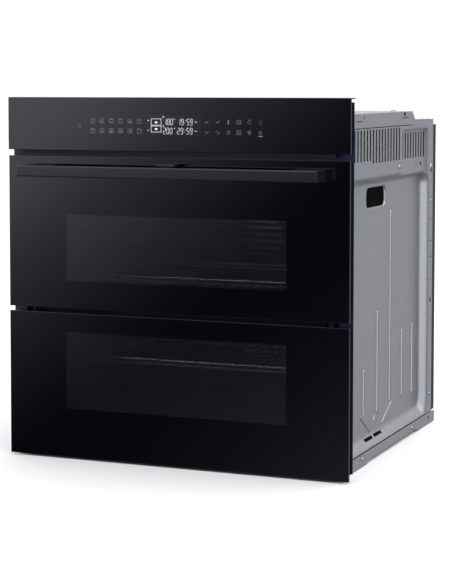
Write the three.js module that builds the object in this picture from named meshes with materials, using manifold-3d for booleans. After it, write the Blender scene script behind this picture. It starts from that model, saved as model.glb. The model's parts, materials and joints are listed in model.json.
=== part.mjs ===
// Built-in wall oven with a split door: the upper door opens by itself, or both open together.
// Millimetres, +Z up, +X to the right, the front faces -Y. The origin is under the middle of the box.
import * as THREE from 'three';
import { mergeVertices } from 'three/addons/utils/BufferGeometryUtils.js';
import Module from 'manifold-3d';

const wasm = await Module();
wasm.setup();

// ---------------------------------------------------------------- driving dimensions
const FRONT_WIDTH = 595;            // control panel glass
const BODY_DEPTH = 564;             // face of the glass to the back of the rear cover
const DOOR_BOTTOM = 2.5;            // lower edge of the lower glass above the feet
const LOWER_DOOR_HEIGHT = 239.8;
const UPPER_DOOR_HEIGHT = 250.7;
const PANEL_HEIGHT = 86.6;
const DOOR_GAP = 7.7;               // between the two doors
const PANEL_GAP = 9.7;              // between the upper door and the control panel
const DOOR_NARROWER = 0.8;          // each side, against the control panel
const GLASS = 4;                    // every pane
const SHEET = 1.5;                  // enamelled front frame and base
const SKIN = 1.2;                   // galvanised covers and the cavity liner
const GAP = 0.3;                    // between pieces that touch
const CLEAR = 0.5;                  // round a piece that slides or drops in

// front frame: a plate on the cabinet's face with a dished mouth that the doors close into
const PLATE_Y = 18;
const FRAME_SIDE_IN = 0.5;          // plate edge inside the panel's edge
const FRAME_BOTTOM = 11.5;
const FRAME_BELOW_PANEL_TOP = 7;
const MOUTH_IN = 23.5;              // mouth edge inside the panel's edge
const MOUTH_BOTTOM = 20;
const MOUTH_BELOW_DOOR_TOP = 3.7;
const MOUTH_SEAL = 3.4;             // seal squeezed between a door and the mouth's floor
const SEAL_WIDTH = 8;
const SEAL_OUT = 2;                 // its inner edge outside the cavity wall
const OUTLET_IN = 12;               // ends of the air outlet inside the mouth's edge
const OUTLET_DROP = 4.9;            // its lower edge under the panel glass
const OUTLET_RISE = 0.6;
const BAY_IN = 35;                  // opening behind the control panel, inside the panel's edge
const BAY_UP = 4;
const BAY_BELOW_TOP = 17;
const ARM_NOTCH = 3;                // room beside a hinge arm in the plate
const ARM_NOTCH_OVER = 1.5;
const FIXING_R = 2.5;               // holes for the cabinet screws
const FIXING_LOW = 131.3;
const FIXING_BELOW_TOP = 119.4;

// control panel
const HOUSING_IN = 12;              // tray inside the panel's edge
const HOUSING_UP = 1.6;             // tray's lower edge over the glass edge
const HOUSING_BELOW_TOP = 3;
const HOUSING_CLEAR = 0.4;          // between the tray and the plate
const CAP_THICK = 1.6;              // cap over the glass and the plate
const CAP_BACK = 23;
const LIP_IN = 25.5;
const LIP_BACK_IN = 2;
const POCKET_HALF = 182;
const POCKET_EDGE = 12;             // pocket's edge inside the glass edge, below and above
const POCKET_FLOOR = 1.6;
const CABLE_HALF = 60;
const CABLE_EDGE = 34;
const DISPLAY_LEFT = 46;
const DISPLAY_RIGHT = 50;
const DISPLAY_BACK = 12.4;
const DISPLAY_UP = 25;
const DISPLAY_HEIGHT = 35;
const BOARD_IN = 4;
const BOARD_FRONT = 13;
const BOARD_THICK = 1.6;
const BOARD_EDGE = 16;

// body
const BODY_IN = 20.5;               // side panel's face inside the panel's edge
const BODY_BELOW_TOP = 42;
const DUCT_BELOW_TOP = 26;
const DUCT_FLANGE = 23;
const DUCT_LENGTH = 385;
const DUCT_SLANT = 27;
const REAR_COVER_DEPTH = 18;
const REAR_COVER_BOTTOM = 14;
const REAR_COVER_BELOW_TOP = 10;
const BASE_FLANGE_TOP = 20;
const FOOT_DROP = 5.5;
const FOOT_LENGTH = 106;
const FRONT_FOOT_SLOPE = 22;
const REAR_FOOT_SLOPE = 16;
const BASE_START = 46;
const BASE_REAR_IN = 2;             // its rear edge in front of the oven's back
const SHELL_UP = 8;                 // rear cover's lower edge over the side panel's rear slot
const DUCT_TAIL = 1.6;
const AIRWAY_HALF = 190;            // opening in the top panel
const AIRWAY_START = 20;
const AIRWAY_END = 90;
const REAR_SLOTS = 9;               // two rows of slots in the rear cover
const REAR_SLOT_FIRST = 150;
const REAR_SLOT_PITCH = 24;
const REAR_SLOT_WIDTH = 8;
const REAR_SLOT_HEIGHT = 46;
const REAR_SLOT_BELOW_TOP = 92;
const REAR_SLOT_UP = 60;
// cable opening and terminal block: both ends from the body's side, then both depths below the top
const INLET = [92, 28, 78, 26];
const TERMINAL = [84, 36, 70, 34];
const TERMINAL_FRONT = 42;
const TERMINAL_BACK = 8;
const TERMINAL_WAY_R = 4;
const TERMINAL_PITCH = 16;
const TERMINAL_WAY_DEPTH = 22;

// side panel pressing
const RECESS = 15;
const RECESS_FRONT = 60;
const RECESS_REAR_BORDER = 47;      // border left behind the recess, to the rear cover's back
const RECESS_TOP_BELOW = 89;        // below the body's top
const RECESS_SLOPE = 12.5;
const RECESS_FOOT_SLOPE = 17.5;
const VENT_RECESS = 4;
const LOUVRE_PITCH = 16.5;
const LOUVRE_WIDTH = 7.5;
const LOUVRE_TOP_BELOW = 11;
const LOUVRE_HEIGHT = 55;
const LOUVRE_FRONT = 66.5;
const VENT_LENGTH = 168;            // recessed rear louvre field
const VENT_FIRST = 18;              // its first slot from its front edge
const GRIP_LENGTH = 110;
const GRIP_HEIGHT = 35;
const GRIP_RADIUS = 9;
const GRIP_FRONT = 192;
const GRIP_BELOW_TOP = 107;
const BEAD = 5;
const BEAD_RISE = 1.4;
const BEADS = [                     // distance ahead of the recess's rear, foot and height of each
  [335.5, 77, 69],
  [260.5, 68, 168],
  [187, 76, 323],
  [115, 73, 113],
  [50.5, 69, 119],
];
const MOUTH_LAP = 0.8;              // how far a pressing's cutter is wider at the panel's face
const RECESS_RUN = 12;              // sloping front and rear walls of the recess
const VENT_RUN = 5;
const VENT_OVER = 5;                // rear louvre field's lower edge over the recess
const VENT_TOP_IN = 3;
const VENT_SLOT_DROP = 10;          // its slots start this far below the others
const SLOT_MARGIN = 14;             // last slot before the end of its field
const SHORT_SLOTS_TO = 180;         // the slots in front of this are shorter
const SHORTER = 5;
const FOOT_SLOTS = [195, 247];
const FOOT_SLOT_LENGTH = 42;
const FOOT_SLOT_UP = 7;
const FOOT_SLOT_HEIGHT = 6;

// cavity
const CAVITY_IN = 59.5;             // inside wall inside the panel's edge
const CAVITY_FLOOR = 68;
const CAVITY_BELOW_DOOR_TOP = 72.7;
const SERVICE_DEPTH = 126;          // from the cavity's back wall to the oven's back
const INSULATION = 16;
const BLANKET_OVER = 26;            // insulation above, below and behind the cavity
const BLANKET_UNDER = 38;
const BLANKET_BEHIND = 36;
const HEATER_ROOM = 16;             // left free under the liner for the bottom heater
const MOTOR_ROOM = 4;
const SHAFT_HOLE_R = 9;
const DIVIDER = 18;
const DIVIDER_OVER_AXIS = 11;       // its top over the upper door's hinge axis
const DIVIDER_IN = 13;              // its edge inside the cavity wall
const DIVIDER_BACK = 7;             // its front edge behind the cavity's mouth
const DIVIDER_SEAL_DROP = 10;       // its seal laps this far over the lower door
const DIVIDER_SEAL_RISE = 7;
const SEAL_FOOT_IN = 14;
const SEAL_FOOT_BACK = 6;
const SEAL_FOOT_UP = 2;
const SEAL_FOOT_DOWN = 10;

// doors
const HINGE_Y = 10;
const LOWER_AXIS_UP = 9.5;          // hinge axis over the lower edge of its glass
const UPPER_AXIS_UP = 7;
const DOOR_FRONT_DEPTH = 16;        // back of the wide part of a door frame
const DOOR_FRAME_DEPTH = 30;        // back of its narrow part
const DOOR_FRAME_IN = 6.7;          // wide part's edge inside the glass edge
const PLUG_IN = 6;                  // narrow part's edge inside the mouth
const WINDOW_FRAME_IN = 84.5;       // frame opening inside the glass edge
const INNER_GLASS_IN = 18;          // inner pane inside the narrow part
const PIN_R = 2.2;
const PIN_HOLE_R = 2.6;
const ARM_IN = 34.7;                // hinge arms' centre inside the glass edge
const ARM_THICK = 5;
const EYE_R = 4.5;
const ARM_HALF = 3.5;
const PIN_HALF = 10;
const MIDDLE_GLASS_Y = 17;
const ARM_ROOM = 1;                 // beside a hinge arm in a door frame
const ARM_ROOM_OVER = 3;
const ARM_LENGTH = 60;              // body arm behind its axis
const ARM_FOOT = [14, 6, 26, 2];    // its foot: inwards, outwards, length, thickness
const LEG_DEPTH = 8;                // leg of the arm between the doors
const LEG_DROP = 34;
const FRAME_UP = 5.5;               // wide part's lower edge over the lower glass edge
const FRAME_DOWN = 2.3;             // wide part's upper edge under the glass edge
const PLUG_STEP = 2;                // narrow part's edge from there
const PLUG_UP = 4;
const LOWER_OPEN_UNDER = 6;         // lower frame's opening under the cavity floor
const LOWER_OPEN_DOWN = 20;
const LOWER_PANE_UP = 10;
const LOWER_PANE_DOWN = 10;
const UPPER_FRAME_UP = 3;
const UPPER_FRAME_DOWN = 2.7;
const UPPER_PLUG_UP = 2;
const UPPER_PLUG_DOWN = 6.7;
const UPPER_OPEN_UP = 18;
const UPPER_OPEN_OVER = 2;
const UPPER_PANE_UP = 4;
const UPPER_PANE_DOWN = 10.7;

// handle and release lever
const HANDLE_OUT = 46;
const HANDLE_IN = 38.7;              // its ends inside the door's edge
const HANDLE_HEIGHT = 18;
const HANDLE_THICK = 14;
const HANDLE_BELOW_TOP = 32.2;
const HANDLE_CHAMFER = 1.2;
const POST_WIDTH = 47;
const POST_FILLET = 14;
const LEVER_HALF = 16.5;
const LEVER_TRAVEL = 5;
const LEVER_RISE = 4.9;             // cap's top over the handle's top
const LEVER_CAP = 3.7;
const LEVER_GAP = 1;
const LEVER_BACK = 9;
const LEVER_WALL = 2;
const LEVER_UNDER = 2.5;
const LEVER_ROOM_HALF = 12;
const STEM_HALF = 8;
const STEM_FRONT = 7;
const STEM_BACK = 14;
const FINGER_HALF = 4;
const SLOT_HALF = 6;
const LINK_UP = 5;                  // link bar's lower edge over the handle's
const LINK_H = 6;
const LINK_IN = 19.7;               // its legs inside the glass edge
const LINK_HALF = 2;
const LINK_BACK = 8;
const LINK_ROOM = 1.5;              // round the link in its groove
const LINK_GROOVE = 9.4;
const LINK_FOOT_UP = 4;

// racks, fans and heaters
const WIRE = 5;
const THIN_WIRE = 3;
const RACK_SIDE_CLEAR = 29;          // to the cavity wall
const RACK_FRONT = 118;
const RACK_BACK_CLEAR = 16;          // to the fan cover
const RACK_WIRES = 18;
const LOWER_RACK_UP = 79;
const RACK_OVER_DOOR = 6;
const POST_X_IN = 8;                // side rack post inside the cavity wall
const POST_AHEAD = 40;              // its front post before the rack
const POST_BEHIND = 6;
const POST_UP = 12;
const POST_DOWN = 14;
const LEVEL_FIRST = 34;             // rack levels over the cavity floor and over the resting racks
const LEVEL_OVER_LOWER = 40;
const LEVEL_OVER_UPPER = 42;
const LAP = 0.4;                    // joined wires overlap this far
const WIRE_LAP = 1;                 // cross wires run past the frame's middle
const RAIL_HALF = 2;
const RAIL_HEIGHT = 4;
const FAN_R = 52;
const RING_R = 64;
const HEATER_R = 3.2;
const FAN_COVER_OUT = 42;
const FAN_COVER_HALF = 178;
const FAN_COVER_EDGE = 6;
const GRILLE_R = 45;
const GRILLE_PITCH = 12;
const GRILLE_SLOT = 6;
const GRILLE_END = 4;
const SIDE_SLOTS = [60, 20];        // outer slots: ends inside the cover's edge
const SIDE_SLOT_PITCH = 22;
const SIDE_SLOT = 8;
const FAN_ROOM = 8;                 // before and behind a fan
const FAN_BLADES = 10;
const BLADE = 2;
const FAN_BLADE_LENGTH = 20;
const FAN_BLADE_IN = 12;
const HUB_R = 9;
const HUB_BACK = 4;
const SHAFT_OUT = 14;
const MOTOR_R = 32;
const MOTOR_OUT = 7;
const MOTOR_LENGTH = 46;
const MOTOR_BORE = 9;
const RING_OUT = 24;                // ring heater in front of the back wall
const LEAD_HALF = 14;
const HEATER_FRONT = 90;
const HEATER_BACK = 70;
const HEATER_IN = 42;
const GRILL_DOWN = 9;
const GRILL_RUNS = 6;
const BOTTOM_DOWN = 7;
const BOTTOM_RUNS = 4;
const TUBE_LAP = 1.2;
const LENS_DOWN = 34;
const LENS_R = 17;
const LENS_DEPTH = 4.5;
const PROBE_IN = 38;
const PROBE_DOWN = 26;
const PROBE_R = 3;
const PROBE_LENGTH = 60;
const SHAFT_R = 3;
const BLOWER_BACK = 234;            // blower axis in front of the oven's back
const BLOWER_R = 62;
const BLOWER_OVER = 14;             // housing over the insulation
const BLOWER_UNDER = 30;            // its top under the body's
const BLOWER_WALL = 10;
const BLOWER_ROOM = 6;
const BLOWER_SNOUT = 14;
const BLOWER_SHEET = 2;
const BLOWER_INLET_IN = 14;
const BLOWER_MOUTH_IN = 12;
const WHEEL_UP = 4;
const WHEEL_UNDER = 6;
const WHEEL_BLADES = 14;
const WHEEL_BLADE = 10;
const WHEEL_BLADE_IN = 7;
const WHEEL_SHAFT = 12;
const BLOWER_MOTOR_R = 28;
const BLOWER_MOTOR_UP = 4;
const BLOWER_MOTOR_UNDER = 2;
const BLOWER_MOTOR_BORE = 14;
const POWER_BOARD = [34, 164, 100, 260, 2]; // ends from the body's left side, front, back, thickness
const POWER_PARTS_IN = 4;
const POWER_PARTS = [[0, 12, 40, 34, 28], [60, 20, 30, 30, 22], [20, 90, 60, 30, 18], [95, 100, 24, 40, 25]];

// ---------------------------------------------------------------- places worked out from them
const HALF = FRONT_WIDTH / 2;
const LOWER_TOP = DOOR_BOTTOM + LOWER_DOOR_HEIGHT;
const UPPER_BOTTOM = LOWER_TOP + DOOR_GAP;
const UPPER_TOP = UPPER_BOTTOM + UPPER_DOOR_HEIGHT;
const PANEL_BOTTOM = UPPER_TOP + PANEL_GAP;
const TOP = PANEL_BOTTOM + PANEL_HEIGHT;
const DOOR_HALF = HALF - DOOR_NARROWER;
const PLATE_HALF = HALF - FRAME_SIDE_IN;
const MOUTH_HALF = HALF - MOUTH_IN;
const MOUTH_TOP = UPPER_TOP - MOUTH_BELOW_DOOR_TOP;
const FRAME_TOP = TOP - FRAME_BELOW_PANEL_TOP;
const BODY_HALF = HALF - BODY_IN;
const BODY_TOP = TOP - BODY_BELOW_TOP;
const BODY_FRONT = PLATE_Y + SHEET + CLEAR;
const BODY_REAR = BODY_DEPTH - REAR_COVER_DEPTH - CLEAR;
const CAVITY_HALF = HALF - CAVITY_IN;
const CAVITY_TOP = UPPER_TOP - CAVITY_BELOW_DOOR_TOP;
const DOOR_BACK = DOOR_FRAME_DEPTH + GLASS;
const SEAL_Y = DOOR_BACK + GAP + MOUTH_SEAL + GAP;
const CAVITY_FRONT = SEAL_Y + SHEET + GAP;
const CAVITY_BACK = BODY_DEPTH - SERVICE_DEPTH;
const LOWER_AXIS = DOOR_BOTTOM + LOWER_AXIS_UP;
const UPPER_AXIS = UPPER_BOTTOM + UPPER_AXIS_UP;
const DIVIDER_TOP = UPPER_AXIS + DIVIDER_OVER_AXIS;
const ARM_X = DOOR_HALF - ARM_IN;
const FAN_COVER_Y = CAVITY_BACK - FAN_COVER_OUT;
const RACK_HALF = CAVITY_HALF - RACK_SIDE_CLEAR;
const RACK_LENGTH = FAN_COVER_Y - RACK_BACK_CLEAR - RACK_FRONT;
const LOWER_RACK_Z = CAVITY_FLOOR + LOWER_RACK_UP;
const UPPER_RACK_Z = UPPER_AXIS + DOOR_BACK - HINGE_Y + RACK_OVER_DOOR;
const HANDLE_HALF = DOOR_HALF - HANDLE_IN;
const HANDLE_TOP = UPPER_TOP - HANDLE_BELOW_TOP + HANDLE_HEIGHT;
const HANDLE_Z = HANDLE_TOP - HANDLE_HEIGHT;
const UPPER_FAN_Z = (DIVIDER_TOP + CAVITY_TOP) / 2;
const LOWER_FAN_Z = (CAVITY_FLOOR + DIVIDER_TOP - DIVIDER) / 2;
const INSULATION_TOP = CAVITY_TOP + SKIN + CLEAR + BLANKET_OVER;
const BLOWER_Y = BODY_DEPTH - BLOWER_BACK;

// ---------------------------------------------------------------- finishes
const finish = (color, roughness, metalness) => (
  new THREE.MeshStandardMaterial({ color, roughness, metalness })
);
const FINISH = {
  blackGlass: finish(0x101114, 0.08, 0.0),
  clearGlass: finish(0x2b2f33, 0.1, 0.0),
  navyEnamel: finish(0x161c38, 0.3, 0.1),
  cavityEnamel: finish(0x23252a, 0.35, 0.1),
  galvanised: finish(0x9fa2a5, 0.45, 0.8),
  darkSteel: finish(0x50545a, 0.5, 0.7),
  anodised: finish(0x3a3b3e, 0.4, 0.7),
  blackPlastic: finish(0x151517, 0.55, 0.0),
  stainless: finish(0xb4b6b8, 0.3, 0.9),
  heater: finish(0x4a4743, 0.6, 0.4),
  rubber: finish(0x202022, 0.8, 0.0),
  wool: finish(0xc9c4b4, 0.95, 0.0),
  circuit: finish(0x1d4a2c, 0.6, 0.1),
};

// ---------------------------------------------------------------- shape helpers
function solid(geometry) {
  const bare = geometry.index ? geometry.toNonIndexed() : geometry.clone();
  bare.deleteAttribute('normal');
  bare.deleteAttribute('uv');
  const merged = mergeVertices(bare, 1e-4);
  return new wasm.Manifold(new wasm.Mesh({
    numProp: 3,
    vertProperties: merged.attributes.position.array,
    triVerts: new Uint32Array(merged.index.array),
  }));
}

function geometryOf(body) {
  const mesh = body.getMesh();
  const geometry = new THREE.BufferGeometry();
  const vertices = new Float32Array(mesh.numVert * 3);
  for (let i = 0; i < mesh.numVert; i += 1) {
    vertices.set(mesh.vertProperties.subarray(i * mesh.numProp, i * mesh.numProp + 3), i * 3);
  }
  geometry.setAttribute('position', new THREE.BufferAttribute(vertices, 3));
  geometry.setIndex(new THREE.BufferAttribute(mesh.triVerts, 1));
  geometry.computeVertexNormals();
  return geometry;
}

function add(group, name, body, material) {
  const mesh = new THREE.Mesh(geometryOf(body), material);
  mesh.name = name;
  group.add(mesh);
  return mesh;
}

const join = (...bodies) => bodies.reduce((all, one) => all.add(one));
const cut = (body, ...tools) => tools.reduce((left, tool) => left.subtract(tool), body);

// A box from its low and high corners.
function box(x0, x1, y0, y1, z0, z1) {
  const geometry = new THREE.BoxGeometry(x1 - x0, y1 - y0, z1 - z0);
  return solid(geometry.translate((x0 + x1) / 2, (y0 + y1) / 2, (z0 + z1) / 2));
}

// The same box on the right (side 1) or mirrored to the left (side -1).
function sideBox(side, x0, x1, ...rest) {
  return side > 0 ? box(x0, x1, ...rest) : box(-x1, -x0, ...rest);
}

function rod(axis, centre, radius, from, to, sides = 12) {
  const geometry = new THREE.CylinderGeometry(radius, radius, to - from, sides);
  geometry.translate(0, (from + to) / 2, 0);
  if (axis === 'x') geometry.rotateZ(-Math.PI / 2).translate(0, centre[0], centre[1]);
  if (axis === 'y') geometry.translate(centre[0], 0, centre[1]);
  if (axis === 'z') geometry.rotateX(Math.PI / 2).translate(centre[0], centre[1], 0);
  return solid(geometry);
}

const outline = (points) => new THREE.Shape(points.map(([u, v]) => new THREE.Vector2(u, v)));
const extrusion = (shape, depth) => new THREE.ExtrudeGeometry(shape, {
  depth,
  bevelEnabled: false,
  curveSegments: 6,
});

// An outline in Y and Z, drawn out along X.
function alongX(shape, x0, x1) {
  const turn = new THREE.Matrix4().makeBasis(
    new THREE.Vector3(0, 1, 0),
    new THREE.Vector3(0, 0, 1),
    new THREE.Vector3(1, 0, 0),
  );
  return solid(extrusion(shape, x1 - x0).applyMatrix4(turn).translate(x0, 0, 0));
}

// An outline in X and Y, drawn out along Z.
function alongZ(shape, z0, z1) {
  return solid(extrusion(shape, z1 - z0).translate(0, 0, z0));
}

function roundedOutline(u0, u1, v0, v1, r) {
  const shape = new THREE.Shape();
  shape.absarc(u1 - r, v0 + r, r, -Math.PI / 2, 0, false);
  shape.absarc(u1 - r, v1 - r, r, 0, Math.PI / 2, false);
  shape.absarc(u0 + r, v1 - r, r, Math.PI / 2, Math.PI, false);
  shape.absarc(u0 + r, v0 + r, r, Math.PI, 1.5 * Math.PI, false);
  return shape;
}

// A pocket cutter whose mouth (at x0) is one Y-Z rectangle and whose floor (at x1) is another.
function taper(x0, mouth, x1, floor) {
  const geometry = new THREE.BoxGeometry(1, 1, 1);
  const at = geometry.attributes.position;
  for (let i = 0; i < at.count; i += 1) {
    const atMouth = (at.getX(i) > 0) === (x0 > x1);
    const [y0, y1, z0, z1] = atMouth ? mouth : floor;
    at.setXYZ(i, atMouth ? x0 : x1, at.getY(i) > 0 ? y1 : y0, at.getZ(i) > 0 ? z1 : z0);
  }
  return solid(geometry);
}

// ---------------------------------------------------------------- front frame and control panel
function throughPlate(half, z0, z1) {
  return box(-half, half, PLATE_Y - 1, PLATE_Y + SHEET + 1, z0, z1);
}

function frontFrame() {
  const plate = box(-PLATE_HALF, PLATE_HALF, PLATE_Y, PLATE_Y + SHEET, FRAME_BOTTOM, FRAME_TOP);
  const dishHalf = MOUTH_HALF + SHEET;
  const dish = box(-dishHalf, dishHalf, PLATE_Y, SEAL_Y + SHEET, MOUTH_BOTTOM - SHEET, MOUTH_TOP + SHEET);
  const hollow = box(-MOUTH_HALF, MOUTH_HALF, PLATE_Y - 1, SEAL_Y, MOUTH_BOTTOM, MOUTH_TOP);
  const cavity = box(-CAVITY_HALF, CAVITY_HALF, SEAL_Y - 1, SEAL_Y + SHEET + 1, CAVITY_FLOOR, CAVITY_TOP);
  const outlet = throughPlate(MOUTH_HALF - OUTLET_IN, PANEL_BOTTOM - OUTLET_DROP, PANEL_BOTTOM + OUTLET_RISE);
  const bay = throughPlate(HALF - BAY_IN, PANEL_BOTTOM + BAY_UP, TOP - BAY_BELOW_TOP);
  let frame = cut(join(plate, dish), hollow, cavity, outlet, bay);
  for (const side of [-1, 1]) {
    const notch = ARM_THICK / 2 + ARM_NOTCH;
    frame = cut(frame, sideBox(side, ARM_X - notch, ARM_X + notch, PLATE_Y - 1, PLATE_Y + SHEET + 1,
      FRAME_BOTTOM - 1, LOWER_AXIS + ARM_HALF + ARM_NOTCH_OVER));
    const holeX = side * (PLATE_HALF + BODY_HALF) / 2;
    for (const z of [FIXING_LOW, TOP - FIXING_BELOW_TOP]) {
      frame = cut(frame, rod('y', [holeX, z], FIXING_R, PLATE_Y - 1, PLATE_Y + SHEET + 1));
    }
  }
  return frame;
}

const LIP_HALF = HALF - LIP_IN;
const HOUSING_HALF = HALF - HOUSING_IN;

function panelHousing() {
  const back = PLATE_Y - HOUSING_CLEAR;
  const front = GLASS + GAP;
  const roof = TOP - HOUSING_BELOW_TOP;
  const tray = box(-HOUSING_HALF, HOUSING_HALF, front, back, PANEL_BOTTOM + HOUSING_UP, roof);
  const capPlate = box(-HALF, HALF, front, CAP_BACK, TOP - CAP_THICK, TOP);
  const capWeb = box(-HOUSING_HALF, HOUSING_HALF, front, back, roof - LAP, TOP - CAP_THICK + LAP);
  const lip = box(-LIP_HALF, LIP_HALF, front, back - LIP_BACK_IN,
    PANEL_BOTTOM - OUTLET_DROP, PANEL_BOTTOM + HOUSING_UP + LAP);
  const pocket = box(-POCKET_HALF, POCKET_HALF, front - 1, back - POCKET_FLOOR,
    PANEL_BOTTOM + POCKET_EDGE, TOP - POCKET_EDGE);
  const cable = box(-CABLE_HALF, CABLE_HALF, front, back + 1, PANEL_BOTTOM + CABLE_EDGE, TOP - CABLE_EDGE);
  return cut(join(tray, capPlate, capWeb, lip), pocket, cable);
}

function controlPanel(group) {
  add(group, 'front_frame', frontFrame(), FINISH.navyEnamel);
  add(group, 'control_panel_glass', box(-HALF, HALF, 0, GLASS, PANEL_BOTTOM, TOP), FINISH.blackGlass);
  add(group, 'panel_housing', panelHousing(), FINISH.blackPlastic);
  const display = box(-DISPLAY_LEFT, DISPLAY_RIGHT, GLASS + CLEAR, DISPLAY_BACK,
    PANEL_BOTTOM + DISPLAY_UP, PANEL_BOTTOM + DISPLAY_UP + DISPLAY_HEIGHT);
  add(group, 'display_module', display, FINISH.blackPlastic);
  const board = box(-POCKET_HALF + BOARD_IN, POCKET_HALF - BOARD_IN, BOARD_FRONT, BOARD_FRONT + BOARD_THICK,
    PANEL_BOTTOM + BOARD_EDGE, TOP - BOARD_EDGE);
  add(group, 'touch_board', board, FINISH.circuit);
}

// ---------------------------------------------------------------- galvanised body
const BODY_BOTTOM = FOOT_DROP + SHEET + GAP;
const RECESS_TOP = BODY_TOP - RECESS_TOP_BELOW;
const RECESS_REAR = BODY_DEPTH - RECESS_REAR_BORDER;
const LOUVRE_TOP = BODY_TOP - LOUVRE_TOP_BELOW;
const VENT_FRONT = RECESS_REAR - VENT_LENGTH;
const GRIP_TOP = BODY_TOP - GRIP_BELOW_TOP;

// Pressed-in volume of the side panel for side 1, taken `inward` further in for the inner surface.
function pressing(inward) {
  const out = BODY_HALF + 1 - inward;
  const recess = taper(
    out,
    [RECESS_FRONT - MOUTH_LAP, RECESS_REAR + MOUTH_LAP, BASE_FLANGE_TOP - MOUTH_LAP, RECESS_TOP + MOUTH_LAP],
    BODY_HALF - RECESS - inward,
    [RECESS_FRONT + RECESS_RUN, RECESS_REAR - RECESS_RUN,
      BASE_FLANGE_TOP + RECESS_FOOT_SLOPE, RECESS_TOP - RECESS_SLOPE],
  );
  const vent = taper(
    out,
    [VENT_FRONT - 1, RECESS_REAR + MOUTH_LAP, RECESS_TOP + VENT_OVER, LOUVRE_TOP - VENT_TOP_IN],
    BODY_HALF - VENT_RECESS - inward,
    [VENT_FRONT + VENT_RUN - 1, RECESS_REAR - VENT_RUN + 1,
      RECESS_TOP + VENT_OVER + VENT_RUN - 1, LOUVRE_TOP - VENT_TOP_IN - VENT_RUN + 1],
  );
  return recess.add(vent);
}

function beadAt(y, z0, z1) {
  const floor = BODY_HALF - RECESS;
  return box(floor - LAP, floor + BEAD_RISE, y - BEAD / 2, y + BEAD / 2, z0, z1);
}

function sidePanel() {
  const inner = BODY_HALF - RECESS - 4;
  const outer = cut(box(inner, BODY_HALF, BODY_FRONT, BODY_REAR, BODY_BOTTOM, BODY_TOP), pressing(0));
  const core = cut(
    box(inner - 20, BODY_HALF - SHEET, BODY_FRONT - 1, BODY_REAR + 1, BODY_BOTTOM - 1, BODY_TOP + 1),
    pressing(SHEET),
  );
  let panel = cut(outer, core);
  for (const [ahead, z0, height] of BEADS) {
    panel = panel.add(beadAt(RECESS_REAR - ahead, z0, z0 + height));
  }
  const slots = [];
  const slotBox = (y, z0, z1) => box(inner - 1, BODY_HALF + 1,
    y - LOUVRE_WIDTH / 2, y + LOUVRE_WIDTH / 2, z0, z1);
  const louvreFoot = LOUVRE_TOP - LOUVRE_HEIGHT;
  for (let y = LOUVRE_FRONT; y < VENT_FRONT - SLOT_MARGIN; y += LOUVRE_PITCH) {
    slots.push(slotBox(y, louvreFoot + (y < SHORT_SLOTS_TO ? SHORTER : 0), LOUVRE_TOP));
  }
  for (let y = VENT_FRONT + VENT_FIRST; y < RECESS_REAR - SLOT_MARGIN; y += LOUVRE_PITCH) {
    slots.push(slotBox(y, louvreFoot, LOUVRE_TOP - VENT_SLOT_DROP));
  }
  const grip = roundedOutline(GRIP_FRONT, GRIP_FRONT + GRIP_LENGTH,
    GRIP_TOP - GRIP_HEIGHT, GRIP_TOP, GRIP_RADIUS);
  slots.push(alongX(grip, inner - 1, BODY_HALF + 1));
  const footSlot = BASE_FLANGE_TOP + FOOT_SLOT_UP;
  for (const y of FOOT_SLOTS) {
    slots.push(box(inner - 1, BODY_HALF + 1, y, y + FOOT_SLOT_LENGTH, footSlot, footSlot + FOOT_SLOT_HEIGHT));
  }
  return cut(panel, ...slots);
}

function baseTray() {
  const rear = BODY_DEPTH - BASE_REAR_IN;
  const rearFoot = rear - FOOT_LENGTH;
  const frontEnd = BASE_START + FOOT_LENGTH;
  const under = [
    [BASE_START, 0], [frontEnd, 0], [frontEnd + FRONT_FOOT_SLOPE, FOOT_DROP],
    [rearFoot - REAR_FOOT_SLOPE, FOOT_DROP], [rearFoot, 0], [rear, 0],
  ];
  const over = under.map(([y, z]) => [y, z + SHEET]).reverse();
  const half = BODY_HALF + GAP + SKIN;
  const sheet = alongX(outline([...under, ...over]), -half, half);
  const flange = outline([...under, [rear, BASE_FLANGE_TOP], [BASE_START, BASE_FLANGE_TOP]]);
  return join(sheet, alongX(flange, half - SKIN, half), alongX(flange, -half, -half + SKIN));
}

function rearCover() {
  const y0 = BODY_DEPTH - REAR_COVER_DEPTH;
  const z1 = BODY_TOP - REAR_COVER_BELOW_TOP;
  const z0 = REAR_COVER_BOTTOM + SHELL_UP;
  const shell = box(-BODY_HALF, BODY_HALF, y0, BODY_DEPTH, z0, z1);
  const hollow = box(-BODY_HALF + SKIN, BODY_HALF - SKIN, y0 - 1, BODY_DEPTH - SKIN, z0 + SKIN, z1 - SKIN);
  const holes = [];
  for (const z of [z1 - REAR_SLOT_BELOW_TOP, REAR_COVER_BOTTOM + REAR_SLOT_UP]) {
    for (let i = 0; i < REAR_SLOTS; i += 1) {
      const x = -REAR_SLOT_FIRST + i * REAR_SLOT_PITCH;
      holes.push(box(x, x + REAR_SLOT_WIDTH, BODY_DEPTH - SKIN - 1, BODY_DEPTH + 1, z, z + REAR_SLOT_HEIGHT));
    }
  }
  const [outer, inner, down0, down1] = INLET;
  holes.push(box(BODY_HALF - outer, BODY_HALF - inner, BODY_DEPTH - SKIN - 1, BODY_DEPTH + 1,
    z1 - down0, z1 - down1));
  return cut(shell, hollow, ...holes);
}

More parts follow.
